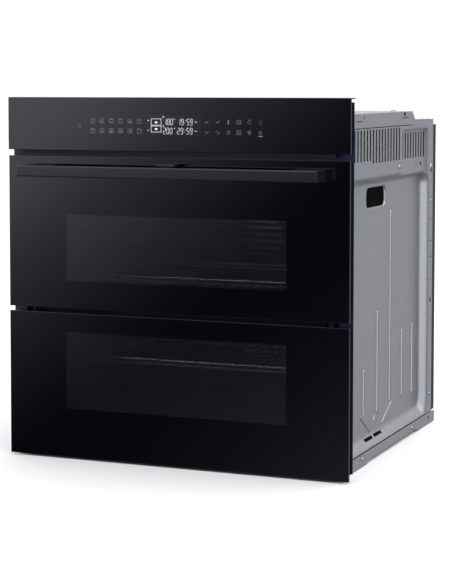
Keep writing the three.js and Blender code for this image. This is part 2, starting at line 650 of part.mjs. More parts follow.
function ductCover() {
  const top = TOP - DUCT_BELOW_TOP;
  const front = BODY_FRONT;
  const end = front + DUCT_LENGTH;
  const half = BODY_HALF + GAP + SKIN;
  const flange = outline([
    [front, top - DUCT_FLANGE], [end + DUCT_SLANT, top - DUCT_FLANGE], [end, top], [front, top],
  ]);
  const roof = box(-half, half, front, end, top - SKIN, top);
  const low = BODY_TOP + GAP;
  const run = DUCT_SLANT * (top - low) / DUCT_FLANGE;
  const slant = [[end + run, low], [end, top], [end - DUCT_TAIL, top], [end + run - DUCT_TAIL, low]];
  const tail = alongX(outline(slant), -half, half);
  return join(roof, tail, alongX(flange, half - SKIN, half), alongX(flange, -half, -half + SKIN));
}

function topPanel() {
  const half = BODY_HALF - SHEET - GAP;
  const sheet = box(-half, half, BODY_FRONT, BODY_REAR, BODY_TOP - SHEET, BODY_TOP);
  const airway = box(-AIRWAY_HALF, AIRWAY_HALF, BODY_FRONT + AIRWAY_START, BODY_FRONT + AIRWAY_END,
    BODY_TOP - SHEET - 1, BODY_TOP + 1);
  return cut(sheet, airway);
}

function casing(group) {
  add(group, 'side_panel_right', sidePanel(), FINISH.galvanised);
  add(group, 'side_panel_left', sidePanel(), FINISH.galvanised).scale.x = -1;
  add(group, 'top_panel', topPanel(), FINISH.galvanised);
  add(group, 'air_duct_cover', ductCover(), FINISH.galvanised);
  add(group, 'rear_cover', rearCover(), FINISH.darkSteel);
  add(group, 'base_tray', baseTray(), FINISH.galvanised);
  const z1 = BODY_TOP - REAR_COVER_BELOW_TOP;
  const [outer, inner, down0, down1] = TERMINAL;
  const block = box(BODY_HALF - outer, BODY_HALF - inner,
    BODY_DEPTH - TERMINAL_FRONT, BODY_DEPTH - TERMINAL_BACK, z1 - down0, z1 - down1);
  const centre = [BODY_HALF - (outer + inner) / 2, z1 - (down0 + down1) / 2];
  const ways = [-1, 0, 1].map((i) => rod('y', [centre[0] + i * TERMINAL_PITCH, centre[1]], TERMINAL_WAY_R,
    BODY_DEPTH - TERMINAL_WAY_DEPTH, BODY_DEPTH));
  add(group, 'terminal_block', cut(block, ...ways), FINISH.blackPlastic);
}

// ---------------------------------------------------------------- cavity and what is in it
function cavityLiner() {
  const shell = box(-CAVITY_HALF - SKIN, CAVITY_HALF + SKIN, CAVITY_FRONT, CAVITY_BACK + SKIN,
    CAVITY_FLOOR - SKIN, CAVITY_TOP + SKIN);
  const room = box(-CAVITY_HALF, CAVITY_HALF, CAVITY_FRONT - 1, CAVITY_BACK, CAVITY_FLOOR, CAVITY_TOP);
  const holes = [UPPER_FAN_Z, LOWER_FAN_Z].map((z) => rod('y', [0, z], SHAFT_HOLE_R,
    CAVITY_BACK - 1, CAVITY_BACK + SKIN + 1));
  return cut(shell, room, ...holes);
}

function insulationBlanket() {
  const half = CAVITY_HALF + SKIN + GAP;
  const front = CAVITY_FRONT + 1;
  const rear = CAVITY_BACK + BLANKET_BEHIND;
  const wide = half + INSULATION;
  const fit = SKIN + GAP;
  const blanket = box(-wide, wide, front, rear, CAVITY_FLOOR - BLANKET_UNDER, INSULATION_TOP);
  const room = box(-half, half, front - 1, CAVITY_BACK + fit, CAVITY_FLOOR - HEATER_ROOM, CAVITY_TOP + fit);
  const holeR = MOTOR_R + MOTOR_ROOM;
  const holes = [UPPER_FAN_Z, LOWER_FAN_Z].map((z) => rod('y', [0, z], holeR, CAVITY_BACK, rear + 1));
  return cut(blanket, room, ...holes);
}

function gasketRing() {
  const into = SEAL_OUT + SEAL_WIDTH;
  const outer = box(-CAVITY_HALF - into, CAVITY_HALF + into, DOOR_BACK + GAP, SEAL_Y - GAP,
    CAVITY_FLOOR - into, CAVITY_TOP + into);
  const inner = box(-CAVITY_HALF - SEAL_OUT, CAVITY_HALF + SEAL_OUT, DOOR_BACK, SEAL_Y,
    CAVITY_FLOOR - SEAL_OUT, CAVITY_TOP + SEAL_OUT);
  return cut(outer, inner);
}

function dividerGasket() {
  const half = CAVITY_HALF + SEAL_OUT - GAP;
  const face = box(-half, half, DOOR_BACK + GAP, SEAL_Y - GAP,
    LOWER_TOP - DIVIDER_SEAL_DROP, UPPER_AXIS + DIVIDER_SEAL_RISE);
  const footHalf = CAVITY_HALF - SEAL_FOOT_IN;
  const foot = box(-footHalf, footHalf, SEAL_Y - 1, CAVITY_FRONT + SEAL_FOOT_BACK,
    DIVIDER_TOP - DIVIDER + SEAL_FOOT_UP, DIVIDER_TOP - SEAL_FOOT_DOWN);
  return join(face, foot);
}

function sideRack(side, levels) {
  const postX = CAVITY_HALF - POST_X_IN;
  const y0 = RACK_FRONT - POST_AHEAD;
  const y1 = RACK_FRONT + RACK_LENGTH + POST_BEHIND;
  const h = WIRE / 2;
  const parts = [y0, y1].map((y) => sideBox(side, postX - h, postX + h, y - h, y + h,
    CAVITY_FLOOR + POST_UP, CAVITY_TOP - POST_DOWN));
  for (const z of levels) {
    parts.push(sideBox(side, RACK_HALF - h, RACK_HALF + h, y0 - h, y1 + h, z - h, z + h));
    for (const y of [y0, y1]) parts.push(sideBox(side, RACK_HALF, postX, y - h, y + h, z - h, z + h));
  }
  return join(...parts);
}

function wireRack(z) {
  const h = WIRE / 2;
  const t = THIN_WIRE / 2;
  const y0 = RACK_FRONT;
  const y1 = RACK_FRONT + RACK_LENGTH;
  const parts = [
    box(-RACK_HALF - h, RACK_HALF + h, y0 - h, y0 + h, z - h, z + h),
    box(-RACK_HALF - h, RACK_HALF + h, y1 - h, y1 + h, z - h, z + h),
    box(-RACK_HALF - h, -RACK_HALF + h, y0, y1, z - h, z + h),
    box(RACK_HALF - h, RACK_HALF + h, y0, y1, z - h, z + h),
  ];
  const wireZ = z + h + t - LAP;
  const pitch = 2 * RACK_HALF / (RACK_WIRES + 1);
  for (let i = 1; i <= RACK_WIRES; i += 1) {
    const x = -RACK_HALF + i * pitch;
    parts.push(box(x - t, x + t, y0 - WIRE_LAP, y1 + WIRE_LAP, wireZ - t, wireZ + t));
  }
  for (const y of [y0, y1]) {
    const foot = wireZ + t - LAP;
    parts.push(box(-RACK_HALF, RACK_HALF, y - RAIL_HALF, y + RAIL_HALF, foot, foot + RAIL_HEIGHT));
  }
  return join(...parts);
}

function fanCover(z0, z1) {
  const half = Math.min(FAN_COVER_HALF, CAVITY_HALF - SIDE_SLOTS[0] + MOTOR_BORE + 1);
  const shell = box(-half, half, FAN_COVER_Y, CAVITY_BACK - GAP, z0, z1);
  const hollow = box(-half + SKIN, half - SKIN, FAN_COVER_Y + SKIN, CAVITY_BACK + 1, z0 + SKIN, z1 - SKIN);
  const mid = (z0 + z1) / 2;
  const slots = [];
  const slot = (side, x0, x1, z, height) => sideBox(side, x0, x1, FAN_COVER_Y - 1, FAN_COVER_Y + SKIN + 1,
    z - height / 2, z + height / 2);
  for (let i = -3; i <= 3; i += 1) {
    const up = i * GRILLE_PITCH;
    const reach = Math.sqrt(GRILLE_R ** 2 - up ** 2) - GRILLE_END;
    slots.push(slot(1, -reach, reach, mid + up, GRILLE_SLOT));
  }
  for (const side of [-1, 1]) {
    for (let i = -2; i <= 2; i += 1) {
      const z = mid + i * SIDE_SLOT_PITCH;
      slots.push(slot(side, half - SIDE_SLOTS[0], half - SIDE_SLOTS[1], z, SIDE_SLOT));
    }
  }
  return cut(shell, hollow, ...slots);
}

function convectionFan(z) {
  const y0 = FAN_COVER_Y + FAN_ROOM;
  const y1 = CAVITY_BACK - FAN_ROOM;
  const disc = rod('y', [0, z], FAN_R, y1 - BLADE, y1, 24);
  const shaft = rod('y', [0, z], SHAFT_R, y0, CAVITY_BACK + SHAFT_OUT, 12);
  const hub = rod('y', [0, z], HUB_R, y0 + HUB_BACK, y1, 12);
  const blades = [];
  const depth = y1 - y0 - 1.5 * BLADE;
  for (let i = 0; i < FAN_BLADES; i += 1) {
    const blade = new THREE.BoxGeometry(BLADE, depth, FAN_BLADE_LENGTH);
    blade.translate(0, y1 - BLADE / 2 - depth / 2, FAN_R - FAN_BLADE_IN);
    blade.rotateY(i * 2 * Math.PI / FAN_BLADES).translate(0, 0, z);
    blades.push(solid(blade));
  }
  return join(disc, shaft, hub, ...blades);
}

function fanMotor(z) {
  const y0 = CAVITY_BACK + MOTOR_OUT;
  const can = rod('y', [0, z], MOTOR_R, y0, y0 + MOTOR_LENGTH, 20);
  const bore = rod('y', [0, z], SHAFT_R + CLEAR, y0 - 1, y0 + MOTOR_BORE, 12);
  return cut(can, bore);
}

function ringHeater(z) {
  const y = CAVITY_BACK - RING_OUT;
  const ring = new THREE.TorusGeometry(RING_R, HEATER_R, 6, 32);
  ring.rotateX(Math.PI / 2).translate(0, y, z);
  const up = Math.sqrt(RING_R ** 2 - LEAD_HALF ** 2);
  const leads = [-LEAD_HALF, LEAD_HALF].map((x) => rod('y', [x, z + up], HEATER_R, y, CAVITY_BACK - GAP, 6));
  return join(solid(ring), ...leads);
}

// A flat snake of heater tube: straight runs along X joined by half-round ends.
function snake(z, halfX, y0, y1, runs) {
  const path = new THREE.CurvePath();
  const pitch = (y1 - y0) / (runs - 1);
  const reach = halfX - pitch / 2;
  for (let i = 0; i < runs; i += 1) {
    const y = y0 + i * pitch;
    const dir = i % 2 === 0 ? 1 : -1;
    const from = new THREE.Vector3(-dir * reach, y, z);
    path.add(new THREE.LineCurve3(from, new THREE.Vector3(dir * reach, y, z)));
    if (i < runs - 1) {
      const bend = [];
      for (let k = 0; k <= 6; k += 1) {
        const a = -Math.PI / 2 + k * Math.PI / 6;
        bend.push(new THREE.Vector3(
          dir * (reach + Math.cos(a) * pitch / 2),
          y + pitch / 2 + Math.sin(a) * pitch / 2,
          z,
        ));
      }
      for (let k = 0; k < 6; k += 1) path.add(new THREE.LineCurve3(bend[k], bend[k + 1]));
    }
  }
  const points = path.getPoints(1);
  const parts = [];
  for (let k = 0; k + 1 < points.length; k += 1) {
    const a = points[k];
    const b = points[k + 1];
    const length = a.distanceTo(b);
    if (length < 1e-3) continue;
    const tube = new THREE.CylinderGeometry(HEATER_R, HEATER_R, length + TUBE_LAP, 6);
    const turn = new THREE.Quaternion().setFromUnitVectors(
      new THREE.Vector3(0, 1, 0),
      b.clone().sub(a).normalize(),
    );
    tube.applyQuaternion(turn).translate((a.x + b.x) / 2, (a.y + b.y) / 2, (a.z + b.z) / 2);
    parts.push(solid(tube));
  }
  return join(...parts);
}

function cavityParts(group) {
  add(group, 'cavity_liner', cavityLiner(), FINISH.cavityEnamel);
  add(group, 'insulation', insulationBlanket(), FINISH.wool);
  add(group, 'cavity_gasket', gasketRing(), FINISH.rubber);
  const panel = box(-CAVITY_HALF + DIVIDER_IN, CAVITY_HALF - DIVIDER_IN, CAVITY_FRONT + DIVIDER_BACK,
    FAN_COVER_Y - CLEAR, DIVIDER_TOP - DIVIDER, DIVIDER_TOP);
  add(group, 'cavity_divider', panel, FINISH.cavityEnamel);
  add(group, 'divider_gasket', dividerGasket(), FINISH.rubber);
  const under = WIRE + GAP;
  const levels = [
    CAVITY_FLOOR + LEVEL_FIRST, LOWER_RACK_Z - under, LOWER_RACK_Z + LEVEL_OVER_LOWER,
    UPPER_RACK_Z - under, UPPER_RACK_Z + LEVEL_OVER_UPPER, UPPER_RACK_Z + 2 * LEVEL_OVER_UPPER,
  ];
  add(group, 'side_rack_left', sideRack(-1, levels), FINISH.stainless);
  add(group, 'side_rack_right', sideRack(1, levels), FINISH.stainless);
  const upperCover = fanCover(DIVIDER_TOP + FAN_COVER_EDGE, CAVITY_TOP - FAN_COVER_EDGE);
  add(group, 'fan_cover_upper', upperCover, FINISH.cavityEnamel);
  const lowerCover = fanCover(CAVITY_FLOOR + FAN_COVER_EDGE, DIVIDER_TOP - DIVIDER - FAN_COVER_EDGE);
  add(group, 'fan_cover_lower', lowerCover, FINISH.cavityEnamel);
  add(group, 'ring_heater_upper', ringHeater(UPPER_FAN_Z), FINISH.heater);
  add(group, 'ring_heater_lower', ringHeater(LOWER_FAN_Z), FINISH.heater);
  add(group, 'fan_motor_upper', fanMotor(UPPER_FAN_Z), FINISH.darkSteel);
  add(group, 'fan_motor_lower', fanMotor(LOWER_FAN_Z), FINISH.darkSteel);
  const rear = FAN_COVER_Y - HEATER_BACK;
  const half = CAVITY_HALF - HEATER_IN;
  const grill = snake(CAVITY_TOP - GRILL_DOWN, half, HEATER_FRONT, rear, GRILL_RUNS);
  add(group, 'grill_heater', grill, FINISH.heater);
  const bottom = snake(CAVITY_FLOOR - SKIN - BOTTOM_DOWN, half, HEATER_FRONT, rear, BOTTOM_RUNS);
  add(group, 'bottom_heater', bottom, FINISH.heater);
  const lens = rod('x', [RACK_FRONT + RACK_LENGTH / 2, CAVITY_TOP - LENS_DOWN], LENS_R,
    CAVITY_HALF - LENS_DEPTH, CAVITY_HALF - GAP, 16);
  add(group, 'lamp_lens', lens, FINISH.clearGlass);
  const probe = rod('y', [CAVITY_HALF - PROBE_IN, CAVITY_TOP - PROBE_DOWN], PROBE_R,
    CAVITY_BACK - PROBE_LENGTH, CAVITY_BACK - GAP, 8);
  add(group, 'temperature_probe', probe, FINISH.stainless);
}

function coolingParts(group) {
  const z0 = INSULATION_TOP + BLOWER_OVER;
  const z1 = BODY_TOP - BLOWER_UNDER;
  const wall = BLOWER_R + BLOWER_WALL;
  const floor = z0 + BLOWER_SHEET;
  const roof = z1 - BLOWER_SHEET;
  const shell = box(-wall, wall, BLOWER_Y - wall - BLOWER_SNOUT, BLOWER_Y + wall, z0, z1);
  const room = rod('z', [0, BLOWER_Y], BLOWER_R + BLOWER_ROOM, floor, roof, 24);
  const mouthHalf = wall - BLOWER_MOUTH_IN;
  const mouth = box(-mouthHalf, mouthHalf, BLOWER_Y - wall - BLOWER_SNOUT - 1, BLOWER_Y, floor, roof);
  const inlet = rod('z', [0, BLOWER_Y], BLOWER_R - BLOWER_INLET_IN, roof - 1, z1 + 1, 24);
  add(group, 'blower_housing', cut(shell, room, mouth, inlet), FINISH.galvanised);
  const motorFoot = z1 + BLOWER_MOTOR_UP;
  const can = rod('z', [0, BLOWER_Y], BLOWER_MOTOR_R, motorFoot, BODY_TOP - SHEET - BLOWER_MOTOR_UNDER, 20);
  const bore = rod('z', [0, BLOWER_Y], SHAFT_R + CLEAR, motorFoot - 1, z1 + BLOWER_MOTOR_BORE, 12);
  add(group, 'blower_motor', cut(can, bore), FINISH.darkSteel);
  const [x0, x1, y0, y1, thick] = POWER_BOARD;
  const board = box(-BODY_HALF + x0, -BODY_HALF + x1, y0, y1, z0, z0 + thick);
  const parts = POWER_PARTS.map(([x, y, width, depth, height]) => {
    const left = -BODY_HALF + x0 + POWER_PARTS_IN + x;
    const front = y0 + POWER_PARTS_IN + y;
    return box(left, left + width, front, front + depth, z0 + thick / 2, z0 + thick + height);
  });
  add(group, 'power_board', join(board, ...parts), FINISH.circuit);
}

function blowerWheel() {
  const z0 = INSULATION_TOP + BLOWER_OVER + WHEEL_UP;
  const z1 = BODY_TOP - BLOWER_UNDER - WHEEL_UNDER;
  const disc = rod('z', [0, BLOWER_Y], BLOWER_R, z0, z0 + BLADE, 24);
  const shaft = rod('z', [0, BLOWER_Y], SHAFT_R, z0, BODY_TOP - BLOWER_UNDER + WHEEL_SHAFT, 12);
  const blades = [];
  const foot = z0 + BLADE / 2;
  for (let i = 0; i < WHEEL_BLADES; i += 1) {
    const blade = new THREE.BoxGeometry(BLADE, WHEEL_BLADE, z1 - foot);
    blade.translate(0, BLOWER_R - WHEEL_BLADE_IN, (foot + z1) / 2);
    blade.rotateZ(i * 2 * Math.PI / WHEEL_BLADES).translate(0, BLOWER_Y, 0);
    blades.push(solid(blade));
  }
  return join(disc, shaft, ...blades);
}

// ---------------------------------------------------------------- doors
// A door's frame: a wide part behind the outer glass and a narrow part that enters the mouth.
function doorFrame(z0, z1, plug0, plug1, open0, open1) {
  const wide = DOOR_HALF - DOOR_FRAME_IN;
  const plug = MOUTH_HALF - PLUG_IN;
  const opening = DOOR_HALF - WINDOW_FRAME_IN;
  return cut(
    join(
      box(-wide, wide, GLASS + GAP, DOOR_FRONT_DEPTH, z0, z1),
      box(-plug, plug, DOOR_FRONT_DEPTH - 1, DOOR_FRAME_DEPTH, plug0, plug1),
    ),
    box(-opening, opening, 0, DOOR_FRAME_DEPTH + 1, open0, open1),
  );
}

// Room for a hinge arm and the bore of its pin, on both sides of a door frame.
function hingeCuts(frame, axisZ, bottom, depth) {
  let body = frame;
  const half = ARM_THICK / 2 + ARM_ROOM;
  const holeHalf = PIN_HALF + CLEAR;
  for (const side of [-1, 1]) {
    body = cut(
      body,
      sideBox(side, ARM_X - half, ARM_X + half, 0, depth, bottom - 1, axisZ + EYE_R + ARM_ROOM_OVER),
      rod('x', [HINGE_Y, axisZ], PIN_HOLE_R, side * ARM_X - holeHalf, side * ARM_X + holeHalf),
    );
  }
  return body;
}

function innerPane(z0, z1) {
  const half = MOUTH_HALF - PLUG_IN - INNER_GLASS_IN;
  return box(-half, half, DOOR_FRAME_DEPTH + GAP, DOOR_BACK, z0, z1);
}

function middlePane(open0, open1) {
  const half = DOOR_HALF - WINDOW_FRAME_IN - CLEAR;
  return box(-half, half, MIDDLE_GLASS_Y, MIDDLE_GLASS_Y + GLASS, open0 + CLEAR, open1 - CLEAR);
}

const pin = (side, axisZ) => (
  rod('x', [HINGE_Y, axisZ], PIN_R, side * ARM_X - PIN_HALF, side * ARM_X + PIN_HALF)
);

// Body hinge arm: an eye round the lower door's pin on a strip that runs back under the mouth.
function hingeArm(side) {
  const x0 = side * ARM_X - ARM_THICK / 2;
  const x1 = side * ARM_X + ARM_THICK / 2;
  const rear = HINGE_Y + ARM_LENGTH;
  const under = LOWER_AXIS - ARM_HALF;
  const [inward, outward, length, thick] = ARM_FOOT;
  const strip = box(x0, x1, HINGE_Y, rear, under, LOWER_AXIS + ARM_HALF);
  const foot = sideBox(side, ARM_X - inward, ARM_X + outward, rear - length, rear, under, under + thick);
  const eye = rod('x', [HINGE_Y, LOWER_AXIS], EYE_R, x0, x1, 16);
  return cut(join(strip, foot, eye), rod('x', [HINGE_Y, LOWER_AXIS], PIN_HOLE_R, x0 - 1, x1 + 1));
}

// Arm between the doors: it rises from the lower door behind the gap and reaches forward to the pin.
function middleArm(side) {
  const x0 = side * ARM_X - ARM_THICK / 2;
  const x1 = side * ARM_X + ARM_THICK / 2;
  const reach = DOOR_FRAME_DEPTH - CLEAR;
  const strip = box(x0, x1, HINGE_Y, reach, UPPER_AXIS - ARM_HALF, UPPER_AXIS + ARM_HALF);
  const leg = box(x0, x1, reach - LEG_DEPTH, reach, LOWER_TOP - LEG_DROP, UPPER_AXIS + ARM_HALF);
  const eye = rod('x', [HINGE_Y, UPPER_AXIS], EYE_R, x0, x1, 16);
  return cut(join(strip, leg, eye), rod('x', [HINGE_Y, UPPER_AXIS], PIN_HOLE_R, x0 - 1, x1 + 1));
}

function lowerDoor(group) {
  const glass = box(-DOOR_HALF, DOOR_HALF, 0, GLASS, DOOR_BOTTOM, LOWER_TOP);
  add(group, 'lower_door_glass', glass, FINISH.blackGlass);
  const bottom = DOOR_BOTTOM + FRAME_UP;
  const top = LOWER_TOP - FRAME_DOWN;
  const open0 = CAVITY_FLOOR - LOWER_OPEN_UNDER;
  const open1 = LOWER_TOP - LOWER_OPEN_DOWN;
  let frame = doorFrame(bottom, top, MOUTH_BOTTOM + PLUG_UP, top - PLUG_STEP, open0, open1);
  frame = hingeCuts(frame, LOWER_AXIS, bottom, DOOR_FRONT_DEPTH + 1);
  for (const side of [-1, 1]) {
    const half = ARM_THICK / 2 + CLEAR;
    frame = cut(frame, sideBox(side, ARM_X - half, ARM_X + half, DOOR_FRAME_DEPTH - LEG_DEPTH - ARM_ROOM,
      DOOR_FRAME_DEPTH + 1, LOWER_TOP - LEG_DROP - ARM_ROOM, LOWER_TOP));
    add(group, side < 0 ? 'middle_arm_left' : 'middle_arm_right', middleArm(side), FINISH.darkSteel);
    add(group, side < 0 ? 'lower_pin_left' : 'lower_pin_right', pin(side, LOWER_AXIS), FINISH.darkSteel);
  }
  add(group, 'lower_door_frame', frame, FINISH.darkSteel);
  add(group, 'lower_door_middle_glass', middlePane(open0, open1), FINISH.clearGlass);
  const pane = innerPane(MOUTH_BOTTOM + LOWER_PANE_UP, LOWER_TOP - LOWER_PANE_DOWN);
  add(group, 'lower_door_inner_glass', pane, FINISH.clearGlass);
}

const LINK_Z = HANDLE_Z + LINK_UP;
const LINK_X = DOOR_HALF - LINK_IN;

function upperDoor(group) {
  const low = LINK_Z - LEVER_TRAVEL - 1;
  const high = LINK_Z + LINK_H + 1;
  const slot = box(-SLOT_HALF, SLOT_HALF, -1, GLASS + 1, low, high);
  const glass = box(-DOOR_HALF, DOOR_HALF, 0, GLASS, UPPER_BOTTOM, UPPER_TOP);
  add(group, 'upper_door_glass', cut(glass, slot), FINISH.blackGlass);
  const bottom = UPPER_BOTTOM + UPPER_FRAME_UP;
  const open0 = UPPER_AXIS + UPPER_OPEN_UP;
  const open1 = CAVITY_TOP + UPPER_OPEN_OVER;
  let frame = doorFrame(bottom, UPPER_TOP - UPPER_FRAME_DOWN, UPPER_AXIS + UPPER_PLUG_UP,
    UPPER_TOP - UPPER_PLUG_DOWN, open0, open1);
  frame = hingeCuts(frame, UPPER_AXIS, bottom, DOOR_FRAME_DEPTH + 1);
  const room = LINK_HALF + LINK_ROOM;
  frame = cut(frame, box(-LINK_X - room, LINK_X + room, GLASS, LINK_GROOVE, low, high));
  for (const side of [-1, 1]) {
    frame = cut(frame, sideBox(side, LINK_X - room, LINK_X + room, GLASS, LINK_GROOVE,
      bottom - 1, LINK_Z + 1));
    add(group, side < 0 ? 'upper_pin_left' : 'upper_pin_right', pin(side, UPPER_AXIS), FINISH.darkSteel);
  }
  add(group, 'upper_door_frame', frame, FINISH.darkSteel);
  add(group, 'upper_door_middle_glass', middlePane(open0, open1), FINISH.clearGlass);
  const pane = innerPane(UPPER_AXIS + UPPER_PANE_UP, UPPER_TOP - UPPER_PANE_DOWN);
  add(group, 'upper_door_inner_glass', pane, FINISH.clearGlass);
}

function handle(group) {
  const c = HANDLE_CHAMFER;
  const y0 = -HANDLE_OUT;
  const y1 = y0 + HANDLE_THICK;
  const profile = outline([
    [y0 + c, HANDLE_Z], [y1, HANDLE_Z], [y1, HANDLE_TOP], [y0 + c, HANDLE_TOP],
    [y0, HANDLE_TOP - c], [y0, HANDLE_Z + c],
  ]);
  add(group, 'handle_bar', alongX(profile, -HANDLE_HALF, HANDLE_HALF), FINISH.anodised);
  for (const side of [-1, 1]) {
    const inner = HANDLE_HALF - POST_WIDTH;
    const back = y1 + GAP;
    const shape = new THREE.Shape();
    shape.moveTo(side * HANDLE_HALF, back);
    shape.lineTo(side * HANDLE_HALF, -GAP);
    shape.lineTo(side * inner, -GAP);
    shape.lineTo(side * inner, back + POST_FILLET);
    shape.quadraticCurveTo(side * inner, back, side * (inner - POST_FILLET), back);
    shape.closePath();
    const name = side < 0 ? 'handle_post_left' : 'handle_post_right';
    add(group, name, alongZ(shape, HANDLE_Z, HANDLE_TOP), FINISH.blackPlastic);
  }
  const housingTop = HANDLE_TOP + LEVER_RISE - LEVER_CAP - LEVER_TRAVEL - CLEAR;
  const wide = LEVER_HALF + LEVER_WALL;
  const shell = box(-wide, wide, y1 + GAP, -GAP, HANDLE_Z - LEVER_UNDER, housingTop);
  const room = box(-LEVER_ROOM_HALF, LEVER_ROOM_HALF, y1 + 2 * LEVER_WALL, 0,
    HANDLE_Z - LEVER_UNDER + 1.5, housingTop + 1);
  add(group, 'lever_housing', cut(shell, room), FINISH.anodised);
}

function releaseParts(group) {
  const y1 = -HANDLE_OUT + HANDLE_THICK;
  const top = HANDLE_TOP + LEVER_RISE;
  const cap = box(-LEVER_HALF, LEVER_HALF, y1 + LEVER_GAP, -LEVER_BACK, top - LEVER_CAP, top);
  const stem = box(-STEM_HALF, STEM_HALF, y1 + STEM_FRONT, -STEM_BACK, LINK_Z - 1, top - LEVER_CAP + 0.7);
  const arm = box(-FINGER_HALF, FINGER_HALF, -STEM_BACK - 1, GLASS + GAP, LINK_Z, LINK_Z + LINK_H);
  add(group, 'release_lever', join(cap, stem, arm), FINISH.anodised);
  const front = GLASS + 2 * GAP;
  const bar = box(-LINK_X - LINK_HALF, LINK_X + LINK_HALF, front, LINK_BACK, LINK_Z, LINK_Z + LINK_H);
  const legs = [-1, 1].map((side) => sideBox(side, LINK_X - LINK_HALF, LINK_X + LINK_HALF, front, LINK_BACK,
    UPPER_BOTTOM + LINK_FOOT_UP, LINK_Z + 1));
  add(group, 'latch_link', join(bar, ...legs), FINISH.stainless);
}

// ---------------------------------------------------------------- assembly
const oven = new THREE.Group();
oven.position.y = -(BODY_DEPTH - HANDLE_OUT) / 2;

const body = new THREE.Group();
controlPanel(body);
casing(body);
cavityParts(body);
coolingParts(body);
add(body, 'hinge_arm_left', hingeArm(-1), FINISH.darkSteel);
add(body, 'hinge_arm_right', hingeArm(1), FINISH.darkSteel);
add(body, 'fan_upper', convectionFan(UPPER_FAN_Z), FINISH.stainless);
add(body, 'fan_lower', convectionFan(LOWER_FAN_Z), FINISH.stainless);
add(body, 'blower_wheel', blowerWheel(), FINISH.galvanised);
add(body, 'wire_rack_upper', wireRack(UPPER_RACK_Z), FINISH.stainless);
add(body, 'wire_rack_lower', wireRack(LOWER_RACK_Z), FINISH.stainless);

const doors = new THREE.Group();
lowerDoor(doors);
const upper = new THREE.Group();
upperDoor(upper);
handle(upper);
releaseParts(upper);
doors.add(upper);
oven.add(body, doors);

export default oven;
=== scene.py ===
"""Looks of a built-in wall oven with a split door, laid out as a Blender add-on and run as a script."""

import json
import math

import bmesh
import bpy
from mathutils import Matrix, Vector


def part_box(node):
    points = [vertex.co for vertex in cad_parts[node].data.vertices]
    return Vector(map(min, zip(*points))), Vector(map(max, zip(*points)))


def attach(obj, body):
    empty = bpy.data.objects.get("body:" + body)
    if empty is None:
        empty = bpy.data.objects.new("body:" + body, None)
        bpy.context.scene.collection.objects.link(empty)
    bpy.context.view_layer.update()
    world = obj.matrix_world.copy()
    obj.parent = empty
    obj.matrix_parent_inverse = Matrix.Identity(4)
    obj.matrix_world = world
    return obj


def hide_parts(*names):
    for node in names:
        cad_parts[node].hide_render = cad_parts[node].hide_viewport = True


bl_info = {
    "name": "Wall Oven Looks",
    "version": (1, 0, 0),
    "blender": (4, 5, 0),
    "location": "View3D > Sidebar > Oven",
    "description": "Builds the visible pieces and finishes of a built-in wall oven round its frame",
    "category": "Object",
}

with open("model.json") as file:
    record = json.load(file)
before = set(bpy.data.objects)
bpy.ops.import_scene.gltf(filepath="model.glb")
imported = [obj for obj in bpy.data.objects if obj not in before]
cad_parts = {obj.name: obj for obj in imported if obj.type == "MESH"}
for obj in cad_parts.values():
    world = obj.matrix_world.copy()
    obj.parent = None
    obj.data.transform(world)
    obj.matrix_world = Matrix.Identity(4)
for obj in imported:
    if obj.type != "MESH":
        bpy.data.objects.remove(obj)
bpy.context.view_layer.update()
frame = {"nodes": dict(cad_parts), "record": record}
NODES = frame["nodes"]

# Face of the glass, from which the depths below are measured, in metres.
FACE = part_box("control_panel_glass")[0].y
BODY_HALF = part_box("side_panel_right")[1].x * 1000
BODY_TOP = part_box("side_panel_right")[1].z * 1000

# Unprinted windows of the doors and the display window, in millimetres across and above the feet.
WINDOW_HALF = 193
UPPER_WINDOW = (295.8, 405.2)
LOWER_WINDOW = (83.5, 211)
DISPLAY_ACROSS = (-45.3, 49.2)
DISPLAY_UP = (536.4, 569.0)


def place(x, y, z):
    """A point from millimetres: x from the middle, y behind the glass face, z above the feet."""
    return Vector((x / 1000, FACE + y / 1000, z / 1000))


def box_mm(node):
    """A CAD node's low and high corners in those millimetres."""
    low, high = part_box(node)
    return [
        Vector((p.x * 1000, (p.y - FACE) * 1000, p.z * 1000)) for p in (low, high)
    ]


def linear(hex_colour):
    """An sRGB hex colour as the linear values that shaders use."""
    channels = [int(hex_colour[i : i + 2], 16) / 255 for i in (1, 3, 5)]
    return tuple(
        c / 12.92 if c <= 0.04045 else ((c + 0.055) / 1.055) ** 2.4 for c in channels
    )


# ---------------------------------------------------------------- settings


def colour_property(name, description, hex_colour):
    return bpy.props.FloatVectorProperty(
        name=name,
        description=description,
        subtype="COLOR",
        size=3,
        min=0.0,
        max=1.0,
        default=linear(hex_colour),
    )


def length_property(name, description, millimetres):
    return bpy.props.FloatProperty(
        name=name,
        description=description,
        unit="LENGTH",
        min=0.0,
        default=millimetres / 1000,
    )


class OvenSizes(bpy.types.PropertyGroup):
    glass_edge: length_property("Glass edge", "Ground edge of each pane", 0.6)
    handle_edge: length_property("Handle edge", "Rounding of the handle's edges", 0.8)
    sheet_bend: length_property("Sheet bend", "Rounding of folded sheet edges", 0.5)
    spangle: length_property("Spangle", "Size of the zinc crystals", 5.0)
    brush_line: length_property("Brush line", "Spacing of the handle's brushing lines", 0.7)
    wire: length_property("Rack wire", "Thickness of the rack frames", 5.0)
    thin_wire: length_property("Thin rack wire", "Thickness of the rack cross wires", 3.0)
    print_height: length_property("Print", "How far the printed symbols stand out", 0.08)
    bead_height: length_property("Bead height", "How far the side beads stand out", 2.8)


